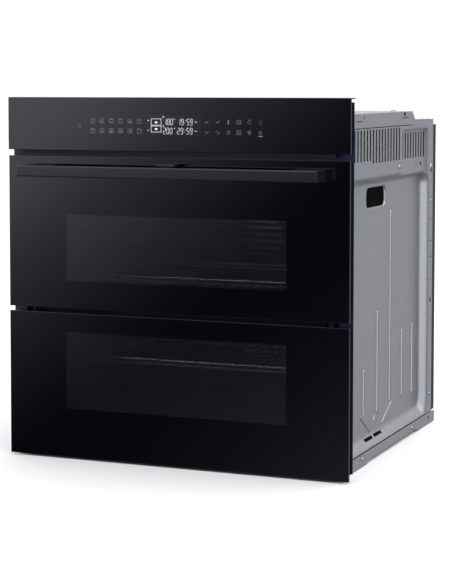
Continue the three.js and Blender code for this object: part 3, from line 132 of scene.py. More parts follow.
class OvenColours(bpy.types.PropertyGroup):
    glass: colour_property("Glass print", "Black print behind the front glass", "#030408")
    display: colour_property("Display", "Dark display window", "#101116")
    zinc: colour_property("Zinc", "Galvanised sheet", "#aeb0b1")
    navy: colour_property("Navy enamel", "Enamel of the front frame", "#111739")
    enamel: colour_property("Cavity enamel", "Enamel of the cavity", "#2b2d31")
    anodised: colour_property("Anodised", "Black anodised aluminium", "#191a1d")
    plastic: colour_property("Plastic", "Moulded housings", "#0a0a0c")
    steel: colour_property("Stainless", "Drawn stainless wire", "#b9bcc0")
    rear: colour_property("Rear steel", "Coated rear cover", "#262b32")
    symbol: colour_property("Symbols", "Printed symbols", "#8f9196")
    digits: colour_property("Digits", "Lit digits", "#e9eef2")
    floor: colour_property("Floor", "Pale studio floor", "#f1f1f1")


def sizes():
    return bpy.context.scene.oven_sizes


def colours():
    return bpy.context.scene.oven_colours


# ---------------------------------------------------------------- materials


def add_node(tree, kind, inputs=None, **settings):
    """Adds a node: inputs are socket values or (node, output) links, settings are its own properties."""
    made = tree.nodes.new(kind)
    for key, value in settings.items():
        setattr(made, key, value)
    for key, value in (inputs or {}).items():
        if isinstance(value, tuple) and isinstance(value[0], bpy.types.Node):
            tree.links.new(value[0].outputs[value[1]], made.inputs[key])
        else:
            made.inputs[key].default_value = value
    return made


def rgba(colour, factor=1.0):
    return (*(min(1.0, c * factor) for c in colour), 1.0)


def shader(name, **values):
    """A material with one Principled shader; values set the shader's own sockets."""
    made = bpy.data.materials.new(name)
    made.use_nodes = True
    tree = made.node_tree
    tree.nodes.clear()
    surface = add_node(tree, "ShaderNodeBsdfPrincipled")
    for key, value in values.items():
        surface.inputs[key.replace("_", " ")].default_value = value
    add_node(tree, "ShaderNodeOutputMaterial", {"Surface": (surface, "BSDF")})
    return made, tree, surface


def object_point(tree, scale=(1.0, 1.0, 1.0)):
    coords = add_node(tree, "ShaderNodeTexCoord")
    return add_node(
        tree, "ShaderNodeMapping", {"Vector": (coords, "Object"), "Scale": scale}
    )


def noise(tree, point, size_mm, detail=2.0):
    """Noise whose grains are size_mm across."""
    return add_node(
        tree,
        "ShaderNodeTexNoise",
        {"Vector": (point, "Vector"), "Scale": 1000 / size_mm, "Detail": detail},
    )


def spread(tree, source, low, high):
    """Maps a 0 to 1 texture output onto low to high."""
    return add_node(
        tree,
        "ShaderNodeMapRange",
        {"Value": source, "To Min": low, "To Max": high},
    )


def tones(tree, surface, source, dark, light):
    """Colours the surface between two tones by a texture output."""
    ramp = add_node(tree, "ShaderNodeValToRGB", {"Fac": source})
    ramp.color_ramp.elements[0].color = dark
    ramp.color_ramp.elements[1].color = light
    tree.links.new(ramp.outputs["Color"], surface.inputs["Base Color"])
    return ramp


def vary(tree, surface, socket, source, low, high):
    tree.links.new(spread(tree, source, low, high).outputs["Result"], surface.inputs[socket])


def roughen(tree, surface, source, low, high):
    vary(tree, surface, "Roughness", source, low, high)


def bump(tree, surface, source, depth_mm, strength=1.0):
    relief = add_node(
        tree,
        "ShaderNodeBump",
        {"Height": source, "Distance": depth_mm / 1000, "Strength": strength},
    )
    tree.links.new(relief.outputs["Normal"], surface.inputs["Normal"])


def maths(tree, operation, first, second):
    return add_node(tree, "ShaderNodeMath", {0: first, 1: second}, operation=operation)


def inside(tree, axes, axis, low_mm, high_mm):
    """1 where the object coordinate on that axis lies between two places, else 0."""
    above = maths(tree, "GREATER_THAN", (axes, axis), low_mm / 1000)
    below = maths(tree, "LESS_THAN", (axes, axis), high_mm / 1000)
    return maths(tree, "MULTIPLY", (above, "Value"), (below, "Value"))


def back_printed_glass():
    # Float glass printed black on its back: a deep black under a hard, nearly mirror-smooth face.
    # Inside each window a thin metal-oxide coat replaces the print: a grey half-mirror with a dim view.
    made, tree, surface = shader("back_printed_float_glass", IOR=1.5)
    point = object_point(tree)
    axes = add_node(tree, "ShaderNodeSeparateXYZ", {"Vector": (point, "Vector")})
    across = inside(tree, axes, "X", -WINDOW_HALF, WINDOW_HALF)
    upper = inside(tree, axes, "Z", *UPPER_WINDOW)
    lower = inside(tree, axes, "Z", *LOWER_WINDOW)
    either = maths(tree, "ADD", (upper, "Value"), (lower, "Value"))
    window = maths(tree, "MULTIPLY", (across, "Value"), (either, "Value"))
    tones(tree, surface, (window, "Value"), rgba(colours().glass), rgba(linear("#54565c")))
    vary(tree, surface, "Alpha", (window, "Value"), 1.0, 0.5)
    vary(tree, surface, "Metallic", (window, "Value"), 0.0, 0.92)
    smear = noise(tree, point, 90.0, 3.0)
    roughen(tree, surface, (smear, "Fac"), 0.035, 0.075)
    return made


def panel_glass():
    # The same printed glass, with a slightly lighter display window in it.
    made, tree, surface = shader("back_printed_panel_glass", IOR=1.5)
    point = object_point(tree)
    axes = add_node(tree, "ShaderNodeSeparateXYZ", {"Vector": (point, "Vector")})
    across = inside(tree, axes, "X", *DISPLAY_ACROSS)
    along = inside(tree, axes, "Z", *DISPLAY_UP)
    display = maths(tree, "MULTIPLY", (across, "Value"), (along, "Value"))
    tones(tree, surface, (display, "Value"), rgba(colours().glass), rgba(colours().display))
    smear = noise(tree, point, 90.0, 3.0)
    roughen(tree, surface, (smear, "Fac"), 0.035, 0.075)
    return made


def clear_pane():
    # Clear inner glass with a faint green-grey body; thin enough to pass most light.
    made, tree, surface = shader(
        "clear_float_glass", Base_Color=rgba(linear("#23262a")), Alpha=0.1, IOR=1.5
    )
    smear = noise(tree, object_point(tree), 60.0)
    roughen(tree, surface, (smear, "Fac"), 0.03, 0.1)
    return made


def galvanised_sheet():
    # Hot-dip zinc: a grey metal whose crystals, a few millimetres across, differ slightly in tone and gloss.
    made, tree, surface = shader("hot_dip_galvanised_sheet", Metallic=0.85)
    point = object_point(tree)
    crystals = add_node(
        tree,
        "ShaderNodeTexVoronoi",
        {"Vector": (point, "Vector"), "Scale": 1 / sizes().spangle, "Randomness": 1.0},
    )
    grey = add_node(tree, "ShaderNodeRGBToBW", {"Color": (crystals, "Color")})
    zinc = colours().zinc
    tones(tree, surface, (grey, "Val"), rgba(zinc, 0.93), rgba(zinc, 1.07))
    roughen(tree, surface, (grey, "Val"), 0.32, 0.42)
    # Skin-pass grain, drawn at 0.8 mm so that it shows.
    bump(tree, surface, (noise(tree, point, 0.8), "Fac"), 0.03, 0.5)
    return made


def coated_rear_sheet():
    # Dark zinc-coated sheet: the same crystals under a duller coat.
    made, tree, surface = shader("dark_coated_steel_sheet", Metallic=0.3, Specular_IOR_Level=0.3)
    point = object_point(tree)
    cloud = noise(tree, point, 14.0, 4.0)
    tones(tree, surface, (cloud, "Fac"), rgba(colours().rear, 0.8), rgba(colours().rear, 1.2))
    roughen(tree, surface, (cloud, "Fac"), 0.42, 0.6)
    bump(tree, surface, (noise(tree, point, 0.8), "Fac"), 0.03, 0.5)
    return made


def enamel(name, colour, speckle, rough=0.25):
    # Vitreous enamel: glassy colour with a slight orange peel and, in a cavity, fine pale specks.
    made, tree, surface = shader(name, IOR=1.52, Specular_IOR_Level=0.35)
    point = object_point(tree)
    specks = noise(tree, point, 1.3, 1.0)
    ramp = tones(tree, surface, (specks, "Fac"), rgba(colour), rgba(speckle))
    ramp.color_ramp.elements[0].position = 0.62
    ramp.color_ramp.elements[1].position = 0.74
    roughen(tree, surface, (noise(tree, point, 25.0), "Fac"), rough * 0.85, rough * 1.2)
    bump(tree, surface, (noise(tree, point, 6.0), "Fac"), 0.05, 0.4)
    return made


def anodised_aluminium():
    # Brushed, then anodised black: fine lines along the bar under a satin sheen.
    made, tree, surface = shader(
        "black_anodised_brushed_aluminium", Metallic=0.75, Coat_Weight=0.6, Coat_Roughness=0.18
    )
    point = object_point(tree, (0.02, 1.0, 1.0))
    lines = add_node(
        tree,
        "ShaderNodeTexNoise",
        {"Vector": (point, "Vector"), "Scale": 1 / sizes().brush_line, "Detail": 3.0},
    )
    metal = colours().anodised
    tones(tree, surface, (lines, "Fac"), rgba(metal, 0.8), rgba(metal, 1.25))
    roughen(tree, surface, (lines, "Fac"), 0.3, 0.42)
    bump(tree, surface, (lines, "Fac"), 0.02, 0.4)
    return made


def moulded_plastic():
    # Glass-filled plastic from an etched mould: black with a fine even grain.
    made, tree, surface = shader("moulded_black_plastic", IOR=1.49, Specular_IOR_Level=0.3)
    point = object_point(tree)
    grain = noise(tree, point, 0.9, 1.0)
    tones(tree, surface, (grain, "Fac"), rgba(colours().plastic, 0.85), rgba(colours().plastic, 1.3))
    roughen(tree, surface, (grain, "Fac"), 0.42, 0.6)
    bump(tree, surface, (grain, "Fac"), 0.06, 0.5)
    return made


def shade_black_finish():
    # Near-black, felt-like finish as painted shade, put in and behind the openings where shade falls: it
    # swallows nearly all light.
    made, tree, surface = shader("painted_shade_black", Roughness=0.95, Specular_IOR_Level=0.05)
    fibres = noise(tree, object_point(tree), 1.5, 4.0)
    tones(tree, surface, (fibres, "Fac"), rgba(linear("#030303")), rgba(linear("#0c0c0c")))
    bump(tree, surface, (fibres, "Fac"), 0.4, 0.6)
    return made


def shaded_rack_wire():
    # Plated rack wire, drawn dark brown-grey as painted shade for the wires that lie deep in the cavity; the
    # tone varies in patches.
    made, tree, surface = shader("rack_wire_painted_shade", Metallic=0.7, Roughness=0.5)
    patches = noise(tree, object_point(tree), 8.0, 3.0)
    tones(tree, surface, (patches, "Fac"), rgba(linear("#1f2023")), rgba(linear("#33343a")))
    return made


def drawn_stainless():
    # Drawn and polished stainless wire or pressed strip: bright, with faint lengthwise streaks.
    made, tree, surface = shader("drawn_stainless_steel", Metallic=1.0)
    point = object_point(tree)
    streaks = noise(tree, point, 3.0, 3.0)
    tones(tree, surface, (streaks, "Fac"), rgba(colours().steel, 0.9), rgba(colours().steel, 1.08))
    roughen(tree, surface, (streaks, "Fac"), 0.2, 0.36)
    return made


def heated_sheath():
    # Nickel alloy heater sheath, browned by heat in uneven patches.
    made, tree, surface = shader("heat_browned_alloy_sheath", Metallic=0.6)
    patches = noise(tree, object_point(tree), 18.0, 4.0)
    tones(tree, surface, (patches, "Fac"), rgba(linear("#2f2b28")), rgba(linear("#6b6258")))
    roughen(tree, surface, (patches, "Fac"), 0.4, 0.65)
    return made


def woven_seal():
    # Braided glass-fibre seal, nearly black, with a 1.5 mm braid.
    made, tree, surface = shader("braided_glass_fibre_seal")
    point = object_point(tree)
    braid = add_node(
        tree,
        "ShaderNodeTexWave",
        {"Vector": (point, "Vector"), "Scale": 1000 / 1.5 / math.tau, "Distortion": 1.0},
        bands_direction="DIAGONAL",
    )
    tones(tree, surface, (braid, "Fac"), rgba(linear("#101012")), rgba(linear("#2a2a2d")))
    roughen(tree, surface, (braid, "Fac"), 0.75, 0.95)
    bump(tree, surface, (braid, "Fac"), 0.25, 0.7)
    return made


def mineral_wool():
    # Pressed mineral wool: pale yellow-grey felt with coarse fibres.
    made, tree, surface = shader("pressed_mineral_wool", Roughness=0.95)
    fibres = noise(tree, object_point(tree, (1.0, 0.3, 1.0)), 2.5, 6.0)
    tones(tree, surface, (fibres, "Fac"), rgba(linear("#a79d80")), rgba(linear("#d8d0b8")))
    bump(tree, surface, (fibres, "Fac"), 0.8, 0.8)
    return made


def circuit_laminate():
    # Green solder-masked laminate with darker track areas.
    made, tree, surface = shader("solder_masked_laminate", IOR=1.5)
    tracks = add_node(
        tree,
        "ShaderNodeTexVoronoi",
        {"Vector": (object_point(tree), "Vector"), "Scale": 250.0},
        distance="MANHATTAN",
    )
    tones(tree, surface, (tracks, "Distance"), rgba(linear("#0f3a20")), rgba(linear("#1f6b3a")))
    roughen(tree, surface, (tracks, "Distance"), 0.25, 0.45)
    return made


def printed_symbol():
    # Grey ceramic print, matt against the glass.
    made, tree, surface = shader("grey_ceramic_print")
    grain = noise(tree, object_point(tree), 0.5, 1.0)
    tones(tree, surface, (grain, "Fac"), rgba(colours().symbol, 0.85), rgba(colours().symbol, 1.1))
    roughen(tree, surface, (grain, "Fac"), 0.5, 0.7)
    return made


def lit_segment():
    # White display segments, lit from behind.
    made, tree, surface = shader(
        "lit_display_segment",
        Emission_Color=rgba(colours().digits),
        Emission_Strength=0.45,
        Roughness=0.4,
    )
    glow = noise(tree, object_point(tree), 4.0, 1.0)
    tones(tree, surface, (glow, "Fac"), rgba(colours().digits, 0.8), rgba(colours().digits))
    return made


def zinc_screw():
    # Bright zinc-plated screw heads.
    made, tree, surface = shader("bright_zinc_plated_screw", Metallic=0.9)
    marks = noise(tree, object_point(tree), 1.5, 2.0)
    tones(tree, surface, (marks, "Fac"), rgba(linear("#8d9095")), rgba(linear("#b9bcc0")))
    roughen(tree, surface, (marks, "Fac"), 0.22, 0.4)
    return made


def matt_studio_paint():
    # Rolled matt emulsion on the studio floor.
    made, tree, surface = shader("matt_studio_paint")
    cloud = noise(tree, object_point(tree), 400.0, 2.0)
    tones(tree, surface, (cloud, "Fac"), rgba(colours().floor, 0.985), rgba(colours().floor))
    roughen(tree, surface, (cloud, "Fac"), 0.75, 0.9)
    return made


MAKERS = {
    "black_glass": back_printed_glass,
    "panel_glass": panel_glass,
    "clear_glass": clear_pane,
    "galvanised": galvanised_sheet,
    "dark_steel": coated_rear_sheet,
    "navy_enamel": lambda: enamel("navy_vitreous_enamel", colours().navy, linear("#151c44"), 0.3),
    "cavity_enamel": lambda: enamel("speckled_cavity_enamel", colours().enamel, linear("#6a6d72")),
    "anodised": anodised_aluminium,
    "black_plastic": moulded_plastic,
    "stainless": drawn_stainless,
    "heater_sheath": heated_sheath,
    "seal": woven_seal,
    "insulation": mineral_wool,
    "circuit": circuit_laminate,
    "symbols": printed_symbol,
    "digits": lit_segment,
    "shade_felt": shade_black_finish,
    "shaded_rack_wire": shaded_rack_wire,
    "screws": zinc_screw,
    "floor": matt_studio_paint,
}
_made = {}


def finish_of(key):
    if key not in _made:
        _made[key] = MAKERS[key]()
    return _made[key]


# ---------------------------------------------------------------- mesh helpers


def piece(name, mesh, material, body, replaces=(), sharp=35):
    """Turns a bmesh into a named object that rides on a body."""
    bmesh.ops.recalc_face_normals(mesh, faces=mesh.faces)
    return keep(name, mesh, material, body, replaces, sharp)


def keep(name, mesh, material, body, replaces=(), sharp=35, flat_faces=True):
    """As piece, for a mesh whose faces already point outwards."""
    data = bpy.data.meshes.new(name)
    mesh.to_mesh(data)
    mesh.free()
    data.polygons.foreach_set("use_smooth", [True] * len(data.polygons))
    data.set_sharp_from_angle(angle=math.radians(sharp))
    made = bpy.data.objects.new(name, data)
    bpy.context.scene.collection.objects.link(made)
    data.materials.append(finish_of(material))
    if flat_faces:
        # Large flat faces keep their own normal, so that a rounded edge doesn't bend their reflections.
        flatten = made.modifiers.new("flat_faces", "WEIGHTED_NORMAL")
        flatten.mode = "FACE_AREA"
        flatten.weight = 90
        flatten.keep_sharp = True
    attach(made, body)
    if replaces:
        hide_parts(*replaces)
    return made


def bevel(mesh, edges, width_mm, segments=2):
    bmesh.ops.bevel(
        mesh,
        geom=edges,
        offset=width_mm / 1000,
        offset_type="OFFSET",
        segments=segments,
        profile=0.5,
        affect="EDGES",
        material=-1,
        clamp_overlap=True,
    )


def block(mesh, low, high, edge=0.0, segments=2, turn=None):
    """A box between two corners in millimetres, with its edges rounded by edge."""
    low, high = place(*low), place(*high)
    middle, size = (low + high) / 2, high - low
    matrix = Matrix.Translation(middle) @ (turn or Matrix.Identity(4)) @ Matrix.Diagonal((*size, 1.0))
    made = bmesh.ops.create_cube(mesh, size=1.0, matrix=matrix)["verts"]
    if edge:
        bevel(mesh, list({e for v in made for e in v.link_edges}), edge, segments)
    return made


def rod(mesh, start, end, radius, sides=12, end_radius=None, caps=True):
    """A round bar between two points in millimetres."""
    a, b = place(*start), place(*end)
    along = b - a
    matrix = Matrix.Translation((a + b) / 2) @ along.to_track_quat("Z", "Y").to_matrix().to_4x4()
    return bmesh.ops.create_cone(
        mesh,
        cap_ends=caps,
        segments=sides,
        radius1=radius / 1000,
        radius2=(radius if end_radius is None else end_radius) / 1000,
        depth=along.length,
        matrix=matrix,
    )["verts"]


def softened(node, width_mm, segments=2, angle=25):
    """A merged copy of a CAD node with its sharp edges rounded."""
    mesh = bmesh.new()
    mesh.from_mesh(NODES[node].data)
    bmesh.ops.remove_doubles(mesh, verts=mesh.verts, dist=2e-6)
    bmesh.ops.dissolve_limit(mesh, angle_limit=math.radians(1), verts=mesh.verts, edges=mesh.edges)
    edges = [
        e for e in mesh.edges if len(e.link_faces) == 2 and e.calc_face_angle(0) > math.radians(angle)
    ]
    bevel(mesh, edges, width_mm, segments)
    return mesh


def tube(name, points, radius, material, body, replaces=(), closed=False, sides=3):
    """A round bar bent along points in millimetres, made as a curve and turned to a mesh."""
    curve = bpy.data.curves.new(name, "CURVE")
    curve.dimensions = "3D"
    curve.bevel_depth = radius / 1000
    curve.bevel_resolution = sides
    curve.use_fill_caps = not closed
    for path in points if isinstance(points[0][0], (list, tuple)) else [points]:
        spline = curve.splines.new("POLY")
        spline.points.add(len(path) - 1)
        for target, source in zip(spline.points, path):
            target.co = (*place(*source), 1.0)
        spline.use_cyclic_u = closed
    holder = bpy.data.objects.new(name + "_path", curve)
    bpy.context.scene.collection.objects.link(holder)
    bpy.context.view_layer.update()
    data = bpy.data.meshes.new_from_object(holder)
    bpy.data.objects.remove(holder)
    mesh = bmesh.new()
    mesh.from_mesh(data)
    bpy.data.meshes.remove(data)
    bmesh.ops.remove_doubles(mesh, verts=mesh.verts, dist=1e-6)
    return piece(name, mesh, material, body, replaces)


# ---------------------------------------------------------------- side panels

RECESS = {"depth": 15.0, "front": 60.0, "rear": 517.0, "top": 466.0, "bottom": 20.0}
RAMPS = {"front": 12.0, "rear": 12.0, "top": 12.5, "bottom": 17.5}
RECESS_CORNER = 34.0
VENT = {"depth": 5.0, "front": 350.0, "rear": 512.0, "top": 541.0}
VENT_REAR_RISE = 0.6
VENT_TOP_RISE = 0.9
VENT_CORNER = 8.0
VENT_ABOVE = 400.0
SHEET = 1.1
TOP_FLANGE = 9.0
REAR_FLANGE = 6.0
SLOT_WIDTH = 7.5
SLOT_PITCH = 16.5
SLOT_BOTTOM, SLOT_TOP = 489.0, 544.0
SHORT_SLOT_BOTTOM = 494.0
SHORT_SLOTS_TO = 180.0
FRONT_SLOTS, FRONT_SLOT_START = 17, 66.5
REAR_SLOTS, REAR_SLOT_START, REAR_SLOT_TOP = 9, 367.0, 534.0
FOOT_SLOT_STARTS = (176.0, 226.0)
FOOT_SLOT_LENGTH = 42.0
FOOT_SLOT_HEIGHTS = (30.0, 34.5)
GRIP = {"front": 191.0, "rear": 304.0, "bottom": 411.5, "top": 449.5, "corner": 15.0}
# Rolled edge of the grip hole: steps towards its middle and into the body.
GRIP_LIP = ((0.5, 0.1), (0.9, 0.45), (0.9, 0.9), (0.45, 0.9), (0.1, 1.6))
BEADS = [
    (181.5, 77.5, 146.0),
    (256.7, 68.0, 236.0),
    (330.0, 76.5, 399.0),
    (402.3, 73.0, 186.0),
    (466.7, 69.0, 188.0),
]
BEAD_REACH = 3.1
TAIL_RADIUS = 1.1
TAIL_END = 1.4
BEAD_TAILS = [
    [(181.5, 77.0), (178.0, 74.0), (164.0, 72.3), (214.5, 41.4)],
    [(243.6, 62.0), (238.0, 56.0)],
    [(340.8, 71.0), (286.6, 44.0)],
]
BOSS = (99.0, 42.0, 11.0, 6.0)


def ramp(t, soft=0.2):
    """0 to 1 with rounded ends, as a bent sheet runs."""
    if t <= -soft:
        return 0.0
    if t < soft:
        return (t + soft) ** 2 / (4 * soft)
    if t <= 1 - soft:
        return t
    if t < 1 + soft:
        return 1 - (1 + soft - t) ** 2 / (4 * soft)
    return 1.0


def rounded_least(a, b, radius):
    if a < radius and b < radius:
        return radius - math.hypot(radius - a, radius - b)
    return min(a, b)


def pressed_depth(y, z):
    """How far the side sheet is pressed in at a point."""
    full = RECESS["depth"]
    rise = {side: full / run for side, run in RAMPS.items()}
    sides = (
        min((y - RECESS["front"]) * rise["front"], (RECESS["rear"] - y) * rise["rear"]),
        min((RECESS["top"] - z) * rise["top"], (z - RECESS["bottom"]) * rise["bottom"]),
    )
    depth = full * ramp(rounded_least(*sides, RECESS_CORNER) / full)
    vent = rounded_least(
        min(y - VENT["front"], (VENT["rear"] - y) * VENT_REAR_RISE),
        (VENT["top"] - z) * VENT_TOP_RISE,
        VENT_CORNER,
    )
    if z > VENT_ABOVE:
        depth = max(depth, VENT["depth"] * ramp(vent / VENT["depth"]))
    for bead_y, low, high in BEADS:
        gap_z = max(low - z, z - high, 0.0)
        reach = math.hypot(y - bead_y, gap_z) / BEAD_REACH
        if reach < 1:
            depth -= sizes().bead_height * 1000 * math.sqrt(1 - reach * reach)
    boss = math.hypot(y - BOSS[0], z - BOSS[1]) / BOSS[2]
    if boss < 1:
        depth -= BOSS[3] * (math.cos(boss * math.pi) + 1) / 2
    return max(depth, 0.0)


def grip_distance(y, z):
    """Signed distance to the rounded outline of the grip hole."""
    half_y, half_z = (GRIP["rear"] - GRIP["front"]) / 2, (GRIP["top"] - GRIP["bottom"]) / 2
    corner = GRIP["corner"]
    dy = abs(y - GRIP["front"] - half_y) - half_y + corner
    dz = abs(z - GRIP["bottom"] - half_z) - half_z + corner
    return math.hypot(max(dy, 0), max(dz, 0)) + min(max(dy, dz), 0.0) - corner


def louvres():
    """The slots of the side sheet as (front, rear, bottom, top)."""
    half = SLOT_WIDTH / 2
    found = []
    for i in range(FRONT_SLOTS):
        y = FRONT_SLOT_START + i * SLOT_PITCH
        bottom = SHORT_SLOT_BOTTOM if y < SHORT_SLOTS_TO else SLOT_BOTTOM
        found.append((y - half, y + half, bottom, SLOT_TOP))
    for i in range(REAR_SLOTS):
        y = REAR_SLOT_START + i * SLOT_PITCH
        found.append((y - half, y + half, SLOT_BOTTOM, REAR_SLOT_TOP))
    for y in FOOT_SLOT_STARTS:
        found.append((y, y + FOOT_SLOT_LENGTH, *FOOT_SLOT_HEIGHTS))
    return found


def ruled(low, high, hard, fine, coarse):
    """Sorted places from low to high: hard ones exactly, fine ranges closely, the rest coarsely."""
    wanted = []
    for start, end, step in fine:
        count = max(1, round((end - start) / step))
        wanted += [start + (end - start) * i / count for i in range(count + 1)]
    count = round((high - low) / coarse)
    wanted += [low + (high - low) * i / count for i in range(count + 1)]
    kept = sorted({low, high, *hard})
    for value in wanted:
        if low < value < high and min(abs(value - other) for other in kept) > 0.9:
            kept.append(value)
    return sorted(kept)


def side_sheet(mirrored):
    low, high = box_mm("side_panel_right")
    slots = louvres()
    fine_y = [(58, 76, 2), (500, 520, 1.6), (346, 362, 1.8), (86, 112, 2.5)]
    fine_z = [(451, 469, 1.7), (18, 42, 2), (534, 544, 1.5), (42, 56, 2.5)]
    corner = GRIP["corner"] + 3
    for fine, start, end in ((fine_y, "front", "rear"), (fine_z, "bottom", "top")):
        fine += [(GRIP[start] - 2, GRIP[start] + corner, 1.5), (GRIP[end] - corner, GRIP[end] + 2, 1.5)]
    fine_z += [(z - 4, z + 4, 1.3) for bead in BEADS for z in bead[1:]]
    steps = (-1, -0.95, -0.8, -0.5, 0, 0.5, 0.8, 0.95, 1)
    flanks = [y + step * BEAD_REACH for y, _, _ in BEADS for step in steps]
    edges = [v for s in slots for v in s[:2]] + [GRIP["front"], GRIP["rear"]]
    ys = ruled(low.y, high.y, edges + flanks, fine_y, 9)
    heights = {v for s in slots for v in s[2:]} | {GRIP["bottom"], GRIP["top"]}
    zs = ruled(low.z, high.z, heights, fine_z, 10)
    mesh = bmesh.new()
    bmesh.ops.create_grid(mesh, x_segments=len(ys) - 1, y_segments=len(zs) - 1, size=1.0)
    spots = {}
    for vert in mesh.verts:
        y = ys[round((vert.co.x + 1) / 2 * (len(ys) - 1))]
        z = zs[round((vert.co.y + 1) / 2 * (len(zs) - 1))]
        gap = grip_distance(y, z)
        if 0 < abs(gap) < 1.0:
            step = 0.05
            slope_y = (grip_distance(y + step, z) - grip_distance(y - step, z)) / (2 * step)
            slope_z = (grip_distance(y, z + step) - grip_distance(y, z - step)) / (2 * step)
            y, z = y - gap * slope_y, z - gap * slope_z
        spots[vert] = (y, z)
        vert.co = place(high.x - pressed_depth(y, z), y, z)

    def is_open(face):
        y = sum(spots[v][0] for v in face.verts) / len(face.verts)
        z = sum(spots[v][1] for v in face.verts) / len(face.verts)
        if grip_distance(y, z) < -0.05:
            return True
        return any(s[0] < y < s[1] and s[2] < z < s[3] for s in slots)

    bmesh.ops.delete(mesh, geom=[f for f in mesh.faces if is_open(f)], context="FACES")
    rim = [
        e
        for e in mesh.edges
        if e.is_boundary and all(abs(grip_distance(*spots[v])) < 0.3 for v in e.verts)
    ]
    for inwards, down in GRIP_LIP:
        made = bmesh.ops.extrude_edge_only(mesh, edges=rim)["geom"]
        for vert in (g for g in made if isinstance(g, bmesh.types.BMVert)):
            y, z = (vert.co.y - FACE) * 1000, vert.co.z * 1000
            away = Vector((
                0.0,
                grip_distance(y + 0.05, z) - grip_distance(y - 0.05, z),
                grip_distance(y, z + 0.05) - grip_distance(y, z - 0.05),
            ))
            vert.co -= away.normalized() * inwards / 1000
            vert.co.x -= down / 1000
        rim = [g for g in made if isinstance(g, bmesh.types.BMEdge) and g.is_boundary]
    # Bent-in top and rear flanges of the sheet.
    for axis, limit, depth in ((2, BODY_TOP / 1000, TOP_FLANGE), (1, place(0, high.y, 0).y, REAR_FLANGE)):
        edge = [
            e
            for e in mesh.edges
            if e.is_boundary and all(abs(v.co[axis] - limit) < 1e-6 for v in e.verts)
        ]
        made = bmesh.ops.extrude_edge_only(mesh, edges=edge)["geom"]
        moved = [g for g in made if isinstance(g, bmesh.types.BMVert)]
        bmesh.ops.translate(mesh, verts=moved, vec=(-depth / 1000, 0, 0))
    bmesh.ops.recalc_face_normals(mesh, faces=mesh.faces)
    if sum(f.normal.x * f.calc_area() for f in mesh.faces) < 0:
        bmesh.ops.reverse_faces(mesh, faces=mesh.faces)
    bmesh.ops.solidify(mesh, geom=mesh.faces, thickness=SHEET / 1000)
    for path in BEAD_TAILS:
        for start, end in zip(path, path[1:]):
            ends = [(high.x - pressed_depth(y, z) + 0.1, y, z) for y, z in (start, end)]
            rod(mesh, *ends, TAIL_RADIUS, 8)
            for end_point in ends:
                spot = Matrix.Translation(place(*end_point))
                bmesh.ops.create_icosphere(mesh, subdivisions=2, radius=TAIL_END / 1000, matrix=spot)
    if mirrored:
        bmesh.ops.scale(mesh, verts=mesh.verts, vec=(-1, 1, 1))
        bmesh.ops.reverse_faces(mesh, faces=mesh.faces)
    side = "left" if mirrored else "right"
    keep(f"side_sheet_{side}", mesh, "galvanised", "oven_body", [f"side_panel_{side}"], 50,
         flat_faces=False)


# ---------------------------------------------------------------- symbols on the control panel


class Pen:
    """Draws flat strokes on the face of the panel, as thin closed bars."""

    def __init__(self):
        self.mesh = bmesh.new()
        self.lift = sizes().print_height * 1000

    def stroke(self, points, width=0.36, closed=False):
        ends = points + points[:1] if closed else points
        for (x0, z0), (x1, z1) in zip(ends, ends[1:]):
            a, b = place(x0, -self.lift / 2, z0), place(x1, -self.lift / 2, z1)
            along = b - a
            turn = Matrix.Rotation(-math.atan2(along.z, along.x), 4, "Y")
            size = (along.length + width / 1000, self.lift / 1000, width / 1000, 1.0)
            matrix = Matrix.Translation((a + b) / 2) @ turn @ Matrix.Diagonal(size)
            bmesh.ops.create_cube(self.mesh, size=1.0, matrix=matrix)

    def ring(self, x, z, radius, width=0.36, start=0, end=360, count=20):
        steps = [math.radians(start + (end - start) * i / count) for i in range(count + 1)]
        self.stroke([(x + radius * math.sin(a), z + radius * math.cos(a)) for a in steps], width)

    def frame(self, x, z, half_x, half_z, width=0.36):
        corners = [(-half_x, -half_z), (half_x, -half_z), (half_x, half_z), (-half_x, half_z)]
        self.stroke([(x + u, z + v) for u, v in corners], width, closed=True)

    def dot(self, x, z, radius):
        rod(self.mesh, (x, 0, z), (x, -self.lift, z), radius, 12)


SEGMENTS = {
    "a": ((0, 2), (1, 2)), "b": ((1, 2), (1, 1)), "c": ((1, 1), (1, 0)), "d": ((0, 0), (1, 0)),
    "e": ((0, 1), (0, 0)), "f": ((0, 2), (0, 1)), "g": ((0, 1), (1, 1)),
}
DIGITS = {"0": "abcdef", "1": "bc", "2": "abged", "5": "afgcd", "8": "abcdefg", "9": "abcdfg"}


def digit(pen, mark, x, z, width=3.7, height=9.4, weight=0.55):
    for name in DIGITS[mark]:
        ends = [(x + u * width + v * 0.25, z + v * height / 2) for u, v in SEGMENTS[name]]
        (x0, z0), (x1, z1) = ends
        length = math.hypot(x1 - x0, z1 - z0)
        trim = 0.75 / length
        near = (x0 + (x1 - x0) * trim, z0 + (z1 - z0) * trim)
        far = (x1 - (x1 - x0) * trim, z1 - (z1 - z0) * trim)
        pen.stroke([near, far], weight)


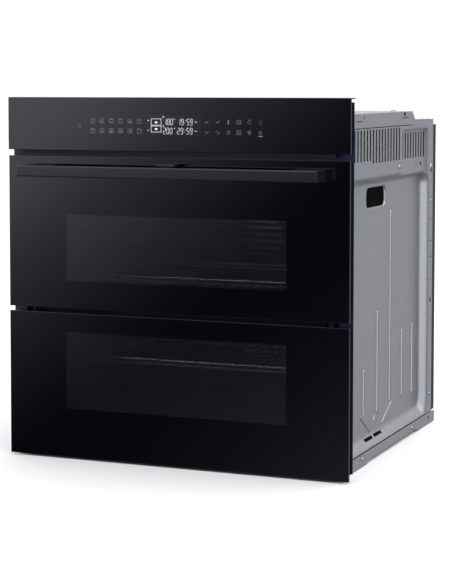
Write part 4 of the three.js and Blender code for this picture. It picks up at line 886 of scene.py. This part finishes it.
def mode_symbol(pen, x, z, kind):
    """A cooking mode: a small oven outline with its own sign inside."""
    pen.frame(x, z, 3.4, 3.3)
    if kind in (0, 1, 6, 7):
        for angle in (30, 150, 270):
            turn = math.radians(angle)
            pen.ring(x + 0.9 * math.sin(turn), z + 0.9 * math.cos(turn), 0.6, 0.35, count=8)
    if kind in (1, 2, 7):
        pen.stroke([(x - 2, z - 2.1), (x + 2, z - 2.1)])
    if kind in (2, 3, 6, 11):
        pen.stroke([(x - 2, z + 2.1), (x + 2, z + 2.1)])
    if kind in (5, 8):
        pen.stroke([(x + step, z + (1.4 if step % 2 == 0 else 0.4)) for step in range(-2, 3)], 0.4)
    if kind in (4, 8):
        pen.stroke([(x - 2, z - 0.8), (x + 2, z - 0.8)], 0.4)
        pen.stroke([(x - 2, z - 1.9), (x + 2, z - 1.9)], 0.4)
    if kind in (9, 10):
        pen.frame(x + 0.5, z - 0.4, 1.5, 1.4, 0.35)


def panel_symbols():
    pen = Pen()
    pen.ring(-166.4, 551.3, 2.7)
    pen.stroke([(-166.4, 551.4), (-166.4, 553.6)])
    for row, z in enumerate((559.0, 543.0)):
        for i in range(6):
            mode_symbol(pen, -141.7 + i * 16.6, z, row * 6 + i)
    for z, way in ((558.0, 1), (541.5, -1)):
        pen.stroke([(56.0, z - way * 1.5), (58.7, z + way * 1.3), (61.4, z - way * 1.5)], 0.5)
    upper, lower = 558.5, 542.0
    pen.stroke([(75.4, upper), (77.0, upper - 1.6), (80.2, upper + 2.0)], 0.5)
    pen.ring(77.6, lower, 2.3, 0.45, -60, 200, 14)
    pen.stroke([(74.2, lower + 1.6), (76.0, lower + 2.4), (75.6, lower + 0.4)], 0.4)
    pen.stroke([(95.5, upper - 1.4), (95.5, upper + 3.0)], 1.2)
    pen.dot(95.5, upper - 2.2, 1.2)
    pen.ring(95.5, lower, 3.0)
    pen.stroke([(95.5, lower + 1.8), (95.5, lower), (97.0, lower)], 0.4)
    for z in (upper, lower):
        pen.frame(113.4, z, 3.3, 3.0)
        pen.stroke([(111.4, z - 1.0), (113.0, z + 0.8), (115.4, z - 1.2)], 0.4)
    pen.ring(131.1, upper, 2.7)
    pen.stroke([(130.2, upper + 3.7), (132.0, upper + 3.7)], 0.5)
    pen.frame(131.1, lower + 1.6, 2.7, 1.1)
    pen.stroke([(129.2, lower - 2.4), (131.1, lower - 0.6), (133.0, lower - 2.4)], 0.5)
    pen.ring(149.6, upper + 1.7, 1.5)
    pen.ring(149.6, upper - 1.9, 1.5)
    pen.frame(149.6, lower - 0.4, 2.2, 1.8)
    pen.ring(149.6, lower + 1.5, 1.5, 0.45, -90, 90, 10)
    pen.stroke([(146.6, lower - 5.4), (152.6, lower - 5.4)], 1.0)
    piece("panel_symbols", pen.mesh, "symbols", "oven_body", sharp=30)

    lit = Pen()
    for z in (560.2, 544.4):
        lit.dot(-42.9, z, 0.75)
    lit.frame(-28.9, 557.8, 8.7, 5.0, 0.5)
    lit.frame(-28.9, 546.6, 8.7, 4.8, 0.5)
    for z in (557.2, 546.6):
        lit.ring(-28.9, z, 1.1, 1.0)
        lit.stroke([(-31.4, z), (-26.4, z)], 0.6)
    for z in (566.0, 551.4):
        lit.ring(-16.4, z, 1.1, 0.35, count=10)
    rows = (
        (553.4, ("180", -15.4), ("19", 8.8), ("59", 24.2)),
        (539.0, ("200", -16.4), ("29", 8.0), ("59", 24.2)),
    )
    for z, *groups in rows:
        for text, x in groups:
            for i, mark in enumerate(text):
                digit(lit, mark, x + i * 5.7, z)
        lit.ring(3.2, z + 8.9, 0.7, 0.3, count=10)
        lit.dot(21.4, z + 3.2, 0.4)
        lit.dot(21.6, z + 6.4, 0.4)
        lit.stroke([(38.0, z + 4.8), (42.0, z + 4.8)], 0.5)
    piece("display_digits", lit.mesh, "digits", "oven_body", sharp=30)


# ---------------------------------------------------------------- screws and small body details

SCREW_HEIGHT = 1.6
SCREW_TAPER = 0.72
DRIVER_EDGE = 0.35
DRIVER_DEPTH = 0.45


def screw(mesh, x, y, z, radius):
    """A pan head standing on a side face, with a sunk driver recess."""
    tip = (x + SCREW_HEIGHT, y, z)
    verts = rod(mesh, (x, y, z), tip, radius, 20, radius * SCREW_TAPER)
    top = max({f for v in verts for f in v.link_faces}, key=lambda f: f.normal.x)
    bmesh.ops.inset_individual(mesh, faces=[top], thickness=radius * DRIVER_EDGE / 1000, depth=0.0)
    bmesh.ops.translate(mesh, verts=list(top.verts), vec=(-SCREW_HEIGHT * DRIVER_DEPTH / 1000, 0, 0))


def body_screws():
    mesh = bmesh.new()
    right = BODY_HALF
    floor = right - RECESS["depth"]
    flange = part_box("base_tray")[1].x * 1000
    for sign in (1, -1):
        spots = [
            (right, 333, 477, 4.0), (right, 533.5, 407, 3.2), (right, 532, 54.6, 3.6),
            (flange, 127.5, 12.3, 3.6), (flange, 415, 12.3, 3.6),
            (flange, 283.5, 13, 1.6), (flange, 93.7, 13, 1.8),
        ]
        for x, y, z, radius in spots:
            screw_mesh = bmesh.new()
            screw(screw_mesh, x - 0.2, y, z, radius)
            if sign < 0:
                bmesh.ops.scale(screw_mesh, verts=screw_mesh.verts, vec=(-1, 1, 1))
                bmesh.ops.reverse_faces(screw_mesh, faces=screw_mesh.faces)
            merge(mesh, screw_mesh)
        # Large pressed stud that locates the rear cover.
        stud = bmesh.new()
        bmesh.ops.create_uvsphere(stud, u_segments=28, v_segments=16, radius=0.0078)
        bmesh.ops.scale(stud, verts=stud.verts, vec=(0.5, 1, 1))
        bmesh.ops.translate(stud, verts=stud.verts, vec=place(sign * (right - 0.6), 534, 467))
        merge(mesh, stud)
    keep("body_screws", mesh, "screws", "oven_body", sharp=40)


def merge(mesh, other):
    """Adds another bmesh to this one."""
    carrier = bpy.data.meshes.new("carrier")
    bmesh.ops.recalc_face_normals(other, faces=other.faces)
    other.to_mesh(carrier)
    other.free()
    mesh.from_mesh(carrier)
    bpy.data.meshes.remove(carrier)


def shade_inlays(mesh, sign, face, marks):
    """Thin dark inlays (front, rear, bottom, top) in a face at that distance from the middle, as painted
    shade for slots, holes and shadow gaps.
    """
    inner, outer = sorted((sign * (face - 0.6), sign * (face + 0.06)))
    for y0, y1, z0, z1 in marks:
        block(mesh, (inner, y0, z0), (outer, y1, z1), 0.02, 1)


def louvre_shade_sheets():
    """A dark bent sheet behind each row of louvres, as painted shade seen through the slots."""
    mesh = bmesh.new()
    for sign in (1, -1):
        inner, outer = sorted((sign * 262.5, sign * 263.5))
        block(mesh, (inner, 26, 484), (outer, 540, 545), 0.3, 1)
        for z in (484, 544):
            lip = sorted((sign * 255.0, sign * 263.5))
            block(mesh, (lip[0], 26, z), (lip[1], 540, z + 1), 0.3, 1)
    piece("louvre_shade_sheets", mesh, "shade_felt", "oven_body")


def grip_shade_cups():
    """A moulded cup behind each grip hole, near black as painted shade of the hollow behind it."""
    mesh = bmesh.new()
    y0, y1, z0, z1 = GRIP["front"] - 6, GRIP["rear"] + 6, GRIP["bottom"] - 6, GRIP["top"] + 6
    for sign in (1, -1):
        back = sorted((sign * 255.9, sign * 256.7))
        wall = sorted((sign * 256.4, sign * 260.7))
        block(mesh, (back[0], y0, z0), (back[1], y1, z1), 0.2, 1)
        for low_y, high_y, low_z, high_z in (
            (y0, y0 + 1.5, z0, z1),
            (y1 - 1.5, y1, z0, z1),
            (y0, y1, z0, z0 + 1.5),
            (y0, y1, z1 - 1.5, z1),
        ):
            block(mesh, (wall[0], low_y, low_z), (wall[1], high_y, high_z), 0.2, 1)
    piece("grip_shade_cups", mesh, "shade_felt", "oven_body")


# ---------------------------------------------------------------- racks and heaters


def rack(name, node, body):
    low, high = box_mm(node)
    wire, thin = sizes().wire * 500, sizes().thin_wire * 500
    x, front, back = high.x - wire, low.y + wire, high.y - wire
    z = low.z + wire
    corner = 9.0
    rim = []
    for cx, cy, start in ((x, back, 0), (-x, back, 90), (-x, front, 180), (x, front, 270)):
        for i in range(5):
            angle = math.radians(start + i * 22.5)
            rim.append((
                cx - math.copysign(corner, cx) + corner * math.cos(angle),
                cy + (corner if cy == front else -corner) + corner * math.sin(angle),
                z,
            ))
    tube(name, rim, wire, "stainless", body, [node], closed=True)
    mesh = bmesh.new()
    rise = wire + thin - 0.3
    count = 18
    for i in range(1, count + 1):
        across = -x + 2 * x * i / (count + 1)
        rod(mesh, (across, front - 1.0, z + rise), (across, back + 1.0, z + rise), thin, 10)
    top = z + rise + thin + 1.7
    middle = (front + back) / 2
    rod(mesh, (-x, middle, z + 0.3), (x, middle, z + 0.3), thin, 10)
    rails = bmesh.new()
    for y in (front, back):
        rod(rails, (-x + 4, y, top), (x - 4, y, top), 2.0, 12)
        for i in range(1, count + 1):
            across = -x + 2 * x * i / (count + 1)
            rod(rails, (across, y - 1.4, z + rise), (across, y + 1.4, z + rise), thin + 0.1, 10)
    piece(f"{name}_rails", rails, "stainless", body)
    # The cross wires take the darker wire finish as painted shade; the rails stay bright stainless.
    piece(f"{name}_wires", mesh, "shaded_rack_wire", body)


def side_rack(sign, node):
    low, high = box_mm(node)
    wire = sizes().wire * 500
    near, far = sorted((abs(low.x), abs(high.x)))
    near, far = sign * (near + wire), sign * (far - wire)
    front, back = low.y + wire, high.y - wire
    mesh = bmesh.new()
    for y in (front, back):
        rod(mesh, (far, y, low.z + 1), (far, y, high.z - 1), wire - 0.2, 12)
    levels = [102.0, 141.7, 187.0, 281.7, 329.0, 371.0]
    for z in levels:
        rod(mesh, (near, front, z), (near, back, z), wire - 0.2, 12)
        for y in (front, back):
            rod(mesh, (near, y, z), (far, y, z), wire - 0.4, 12)
            bmesh.ops.create_uvsphere(
                mesh,
                u_segments=12,
                v_segments=8,
                radius=(wire - 0.2) / 1000,
                matrix=Matrix.Translation(place(near, y, z)),
            )
    side = "right" if sign > 0 else "left"
    # The side wires take the darker wire finish as painted shade.
    piece(f"side_wires_{side}", mesh, "shaded_rack_wire", "oven_body", [node])


def heater_snake(name, node, runs):
    low, high = box_mm(node)
    radius = (high.z - low.z) / 2
    z = (low.z + high.z) / 2
    front, back = low.y + radius, high.y - radius
    pitch = (back - front) / (runs - 1)
    reach = high.x - radius - pitch / 2
    points = []
    for i in range(runs):
        way = 1 if i % 2 == 0 else -1
        y = front + i * pitch
        points += [(-way * reach, y, z), (way * reach, y, z)]
        if i < runs - 1:
            for k in range(1, 10):
                angle = math.radians(-90 + k * 18)
                points.append((
                    way * (reach + math.cos(angle) * pitch / 2),
                    y + pitch / 2 + math.sin(angle) * pitch / 2,
                    z,
                ))
    tube(name, points, radius * 0.98, "heater_sheath", "oven_body", [node], sides=2)


# ---------------------------------------------------------------- stage

# The front light's brightness along its diagonal fade, and the room's by the compass, where 0 is
# behind the oven and 90 its right.
FADE_FROM, FADE_TO = -0.6, 0.36
FRONT_LEVELS = (
    (-0.6, 1.7), (-0.4, 1.5), (-0.2, 0.9), (0.0, 0.26), (0.045, 0.23), (0.075, 0.13),
    (0.10, 0.07), (0.13, 0.03), (0.17, 0.02), (0.19, 0.08), (0.21, 0.19), (0.23, 0.35),
    (0.25, 0.55), (0.265, 0.82), (0.28, 1.15), (0.30, 1.5), (0.3224, 1.63),
)
ROOM_LEVELS = (
    (-180, 0.5), (-100, 0.7), (-30, 0.5), (20, 0.5), (60, 0.25),
    (98, 0.2), (112, 1.25), (140, 1.6), (180, 0.5),
)
ROOM_TINT = (0.955, 0.975, 1.07)
OVERHEAD = 1.6
CAVITY_GLOW = 0.17

CAMERA_LENS = 109.357
CAMERA_SHIFT = (0.06, -0.16)
CAMERA_AT = (1135.305, -2589.449, 618.805)
CAMERA_YAW, CAMERA_PITCH, CAMERA_ROLL = 0.402913, 0.064627, 0.00057


def fill_ramp(node, stops):
    """Sets a colour ramp's grey stops as (position, level)."""
    elements = node.color_ramp.elements
    for i, (position, level) in enumerate(stops):
        stop = elements[i] if i < 2 else elements.new(position)
        stop.position = position
        stop.color = (*(level * tint for tint in ROOM_TINT), 1.0)


# ---------------------------------------------------------------- operators


class OvenOperator:
    bl_options = {"REGISTER"}


class OVEN_OT_side_panels(OvenOperator, bpy.types.Operator):
    """Builds the two pressed side sheets with their recess, beads, louvres and grip hole"""

    bl_idname = "oven.side_panels"
    bl_label = "Side Panels"

    def execute(self, context):
        side_sheet(False)
        side_sheet(True)
        return {"FINISHED"}


class OVEN_OT_casing(OvenOperator, bpy.types.Operator):
    """Builds the top sheet, duct hood, rear cover and base pan"""

    bl_idname = "oven.casing"
    bl_label = "Casing"

    def execute(self, context):
        bend = sizes().sheet_bend * 1000
        for name, node, material in (
            ("top_sheet", "top_panel", "galvanised"),
            ("duct_hood", "air_duct_cover", "galvanised"),
            ("base_pan", "base_tray", "galvanised"),
            ("rear_shell", "rear_cover", "dark_steel"),
        ):
            piece(name, softened(node, bend), material, "oven_body", [node], 30)
        mesh = bmesh.new()
        low, high = box_mm("air_duct_cover")
        block(mesh, (-205, 150, high.z - 1.0), (205, 262, high.z + 3.2), 2.2, 3)
        for x in (-246, 246):
            rod(mesh, (x, 396, high.z - 0.5), (x, 396, high.z + 1.4), 4.5, 20)
            for y in (140, 214, 322):
                rod(mesh, (x, y, high.z - 0.5), (x, y, high.z + 1.0), 2.6, 16, 1.6)
        piece("duct_relief", mesh, "galvanised", "oven_body")
        mesh = bmesh.new()
        side = high.x
        base = box_mm("base_tray")[1].x
        # Dark inlays as painted shade: slots and holes in the duct hood and flanges, plus painted shadow
        # lines above the base flange and under the duct hood.
        duct_slot_shade = (
            (126.5, 129.5, 561, 567), (84, 115, 557.8, 559.2),
            (340, 381, 559.6, 560.8), (353, 362, 563.5, 569.5),
        )
        flange_shade_marks = (
            (529, 536, 223, 231), (531, 534, 262, 266), (528, 537, 305, 307), (528, 537, 334, 336),
            (461, 465, 474, 481), (531, 534, 372, 376), (46, 545, 20.2, 21.3), (46, 405, 546.4, 547.5),
        )
        for sign in (1, -1):
            shade_inlays(mesh, sign, side, duct_slot_shade)
            shade_inlays(mesh, sign, base, ((518, 524, 10, 15),))
            shade_inlays(mesh, sign, BODY_HALF, flange_shade_marks)
        piece("sheet_slot_shade", mesh, "shade_felt", "oven_body")
        louvre_shade_sheets()
        grip_shade_cups()
        body_screws()
        return {"FINISHED"}


class OVEN_OT_front_frame(OvenOperator, bpy.types.Operator):
    """Builds the enamelled front frame and the seals round the cavity mouth"""

    bl_idname = "oven.front_frame"
    bl_label = "Front Frame"

    def execute(self, context):
        piece("front_surround", softened("front_frame", 0.5), "navy_enamel", "oven_body",
              ["front_frame"], 30)
        for name, node in (("mouth_seal", "cavity_gasket"), ("divider_seal", "divider_gasket")):
            piece(name, softened(node, 1.2, 3), "seal", "oven_body", [node], 30)
        return {"FINISHED"}


class OVEN_OT_control_panel(OvenOperator, bpy.types.Operator):
    """Builds the control panel glass, its housing and the printed and lit symbols"""

    bl_idname = "oven.control_panel"
    bl_label = "Control Panel"

    def execute(self, context):
        edge = sizes().glass_edge * 1000
        piece("panel_front", softened("control_panel_glass", edge, 2), "panel_glass", "oven_body",
              ["control_panel_glass"], 30)
        piece("panel_body", softened("panel_housing", 0.5), "black_plastic", "oven_body",
              ["panel_housing"], 30)
        panel_symbols()
        return {"FINISHED"}


class OVEN_OT_doors(OvenOperator, bpy.types.Operator):
    """Builds the glass and frames of both doors"""

    bl_idname = "oven.doors"
    bl_label = "Doors"

    def execute(self, context):
        edge = sizes().glass_edge * 1000
        for door in ("upper_door", "lower_door"):
            piece(f"{door}_front", softened(f"{door}_glass", edge), "black_glass", door,
                  [f"{door}_glass"], 30)
            piece(f"{door}_casing", softened(f"{door}_frame", 0.8), "dark_steel", door,
                  [f"{door}_frame"], 30)
            piece(f"{door}_inside", softened(f"{door}_inner_glass", 0.5), "clear_glass", door,
                  [f"{door}_inner_glass"], 30)
        return {"FINISHED"}


STEM_FOOT_EDGE = 0.7
STEM_FOOT_RISE = 0.4


class OVEN_OT_handle(OvenOperator, bpy.types.Operator):
    """Builds the bar handle, its posts and the release lever behind it"""

    bl_idname = "oven.handle"
    bl_label = "Handle"

    def execute(self, context):
        edge = sizes().handle_edge * 1000
        for name, node, width, finish in (
            ("grip_bar", "handle_bar", edge, "anodised"),
            ("grip_post_left", "handle_post_left", edge * 0.6, "black_plastic"),
            ("grip_post_right", "handle_post_right", edge * 0.6, "black_plastic"),
            ("lever_block", "lever_housing", edge * 0.5, "anodised"),
        ):
            piece(name, softened(node, width, 3), finish, "upper_door", [node], 30)
        lever = softened("release_lever", 0.6, 3)
        # The stem's foot ends a little higher than its CAD solid, to stay off its housing when pressed.
        foot = min(vert.co.z for vert in lever.verts)
        for vert in lever.verts:
            if vert.co.z < foot + STEM_FOOT_EDGE / 1000:
                vert.co.z += STEM_FOOT_RISE / 1000
        piece("lever_tab", lever, "anodised", "release", ["release_lever"], 30)
        return {"FINISHED"}


class OVEN_OT_cavity(OvenOperator, bpy.types.Operator):
    """Builds the cavity liner, covers, racks and heaters"""

    bl_idname = "oven.cavity"
    bl_label = "Cavity"

    def execute(self, context):
        for name, node in (
            ("enamel_liner", "cavity_liner"),
            ("divider_panel", "cavity_divider"),
            ("fan_grille_upper", "fan_cover_upper"),
            ("fan_grille_lower", "fan_cover_lower"),
        ):
            piece(name, softened(node, 0.5), "cavity_enamel", "oven_body", [node], 30)
        side_rack(1, "side_rack_right")
        side_rack(-1, "side_rack_left")
        rack("lower_rack", "wire_rack_lower", "lower_rack")
        rack("upper_rack", "wire_rack_upper", "upper_rack")
        heater_snake("grill_tube", "grill_heater", 6)
        return {"FINISHED"}


class OVEN_OT_finishes(OvenOperator, bpy.types.Operator):
    """Gives every carried-over CAD node its own finish"""

    bl_idname = "oven.finishes"
    bl_label = "Finishes"

    def execute(self, context):
        slots = {entry["node"]: entry["material_slot"] for entry in frame["record"]["subparts"]}
        for name, node in NODES.items():
            node.data.materials.clear()
            node.data.materials.append(finish_of(slots[name]))
        return {"FINISHED"}


class OVEN_OT_stage(OvenOperator, bpy.types.Operator):
    """Sets the pale floor, the soft light and the camera"""

    bl_idname = "oven.stage"
    bl_label = "Stage"

    def execute(self, context):
        scene = context.scene
        scene.view_settings.view_transform = "Standard"
        mesh = bmesh.new()
        bmesh.ops.create_grid(mesh, x_segments=1, y_segments=1, size=14.0)
        bmesh.ops.translate(mesh, verts=mesh.verts, vec=(0, 0, -0.0005))
        data = bpy.data.meshes.new("floor")
        mesh.to_mesh(data)
        mesh.free()
        floor = bpy.data.objects.new("floor", data)
        scene.collection.objects.link(floor)
        data.materials.append(finish_of("floor"))
        floor.visible_glossy = False

        world = bpy.data.worlds.new("studio")
        scene.world = world
        world.use_nodes = True
        tree = world.node_tree
        tree.nodes.clear()
        coords = add_node(tree, "ShaderNodeTexCoord")
        axes = add_node(tree, "ShaderNodeSeparateXYZ", {"Vector": (coords, "Generated")})
        # One large soft light in front, high on the left, fades diagonally to a dark room.
        slant = add_node(
            tree,
            "ShaderNodeVectorMath",
            {0: (coords, "Generated"), 1: (-0.677, 0.0, 0.736)},
            operation="DOT_PRODUCT",
        )
        fade = add_node(
            tree,
            "ShaderNodeMapRange",
            {"Value": (slant, "Value"), "From Min": FADE_FROM, "From Max": FADE_TO},
        )
        front = add_node(tree, "ShaderNodeValToRGB", {"Fac": (fade, "Result")})
        fade_length = FADE_TO - FADE_FROM
        fill_ramp(front, [((at - FADE_FROM) / fade_length, level / 2) for at, level in FRONT_LEVELS])
        # All round it the studio is pale: brighter overhead and to the right, a little dimmer behind.
        round_turn = add_node(tree, "ShaderNodeMath", {0: (axes, "X"), 1: (axes, "Y")}, operation="ARCTAN2")
        share = add_node(
            tree,
            "ShaderNodeMapRange",
            {"Value": (round_turn, "Value"), "From Min": -math.pi, "From Max": math.pi},
        )
        room = add_node(tree, "ShaderNodeValToRGB", {"Fac": (share, "Result")})
        fill_ramp(room, [((angle + 180) / 360, level / 2) for angle, level in ROOM_LEVELS])
        above = add_node(
            tree,
            "ShaderNodeMapRange",
            {"Value": (axes, "Z"), "From Min": 0.15, "From Max": 0.75},
            interpolation_type="SMOOTHSTEP",
        )
        sky = add_node(
            tree,
            "ShaderNodeMix",
            {0: (above, "Result"), 6: (room, "Color"), 7: (OVERHEAD / 2, OVERHEAD / 2, OVERHEAD / 2, 1.0)},
            data_type="RGBA",
        )
        ahead = add_node(
            tree,
            "ShaderNodeMapRange",
            {"Value": (axes, "Y"), "From Min": -0.55, "From Max": -0.8},
            interpolation_type="SMOOTHSTEP",
        )
        below = add_node(
            tree,
            "ShaderNodeMapRange",
            {"Value": (axes, "Z"), "From Min": -0.2, "From Max": -0.5, "To Min": 1.0, "To Max": 0.3},
        )
        round_room = add_node(
            tree,
            "ShaderNodeVectorMath",
            {0: (sky, 2), "Scale": (below, "Result")},
            operation="SCALE",
        )
        whole = add_node(
            tree,
            "ShaderNodeMix",
            {0: (ahead, "Result"), 6: (round_room, "Vector"), 7: (front, "Color")},
            data_type="RGBA",
        )
        light = add_node(tree, "ShaderNodeBackground", {"Color": (whole, 2), "Strength": 2.0})
        backdrop = add_node(tree, "ShaderNodeBackground", {"Color": (1.0, 1.0, 1.0, 1.0), "Strength": 1.0})
        path = add_node(tree, "ShaderNodeLightPath")
        mix = add_node(tree, "ShaderNodeMixShader", {0: (path, "Is Camera Ray")})
        tree.links.new(light.outputs["Background"], mix.inputs[1])
        tree.links.new(backdrop.outputs["Background"], mix.inputs[2])
        add_node(tree, "ShaderNodeOutputWorld", {"Surface": (mix, "Shader")})

        lamp_data = bpy.data.lights.new("overhead_softbox", "AREA")
        lamp_data.shape = "RECTANGLE"
        lamp_data.size, lamp_data.size_y = 3.0, 3.0
        lamp_data.energy = 40.0
        lamp = bpy.data.objects.new("overhead_softbox", lamp_data)
        lamp.location = (1.4, 0.3, 3.2)
        lamp.rotation_euler = Vector((1.4, 0.3, 2.9)).to_track_quat("Z", "Y").to_euler()
        scene.collection.objects.link(lamp)

        # A weak glow inside each cavity, near the door, lifts the rack's front rails out of the dark.
        for number, height in enumerate((225.0, 400.0)):
            glow_data = bpy.data.lights.new(f"cavity_glow_{number}", "AREA")
            glow_data.shape = "RECTANGLE"
            glow_data.size, glow_data.size_y = 0.36, 0.02
            glow_data.energy = CAVITY_GLOW
            glow = bpy.data.objects.new(f"cavity_glow_{number}", glow_data)
            glow.location = place(0, 52, height)
            glow.rotation_euler = (math.radians(35), 0, 0)
            scene.collection.objects.link(glow)

        camera_data = bpy.data.cameras.new("camera")
        camera_data.sensor_width = 36.0
        camera_data.lens = CAMERA_LENS
        camera_data.shift_x, camera_data.shift_y = CAMERA_SHIFT
        camera_data.clip_end = 100.0
        camera = bpy.data.objects.new("camera", camera_data)
        turned = Matrix.Rotation(CAMERA_YAW, 3, "Z")
        tilted = Matrix.Rotation(math.pi / 2 - CAMERA_PITCH, 3, "X")
        rolled = Matrix.Rotation(-CAMERA_ROLL, 3, "Z")
        camera.rotation_euler = (turned @ tilted @ rolled).to_euler()
        camera.location = place(*CAMERA_AT)
        scene.collection.objects.link(camera)
        scene.camera = camera
        return {"FINISHED"}


OPERATORS = (
    OVEN_OT_stage,
    OVEN_OT_finishes,
    OVEN_OT_side_panels,
    OVEN_OT_casing,
    OVEN_OT_front_frame,
    OVEN_OT_control_panel,
    OVEN_OT_doors,
    OVEN_OT_handle,
    OVEN_OT_cavity,
)


class OVEN_PT_pieces(bpy.types.Panel):
    """Lists the operators that build the oven"""

    bl_idname = "OVEN_PT_pieces"
    bl_label = "Wall Oven"
    bl_space_type = "VIEW_3D"
    bl_region_type = "UI"
    bl_category = "Oven"

    def draw(self, context):
        for kind in OPERATORS:
            self.layout.operator(kind.bl_idname)
        for group in (context.scene.oven_sizes, context.scene.oven_colours):
            for key in group.bl_rna.properties.keys():
                if key not in {"rna_type", "name"}:
                    self.layout.prop(group, key)


CLASSES = (OvenSizes, OvenColours, *OPERATORS, OVEN_PT_pieces)


def register():
    for kind in CLASSES:
        bpy.utils.register_class(kind)
    bpy.types.Scene.oven_sizes = bpy.props.PointerProperty(type=OvenSizes)
    bpy.types.Scene.oven_colours = bpy.props.PointerProperty(type=OvenColours)


def unregister():
    del bpy.types.Scene.oven_colours
    del bpy.types.Scene.oven_sizes
    for kind in reversed(CLASSES):
        bpy.utils.unregister_class(kind)


def main():
    register()
    for kind in OPERATORS:
        group, name = kind.bl_idname.split(".")
        getattr(getattr(bpy.ops, group), name)()


if __name__ == "__main__":
    main()
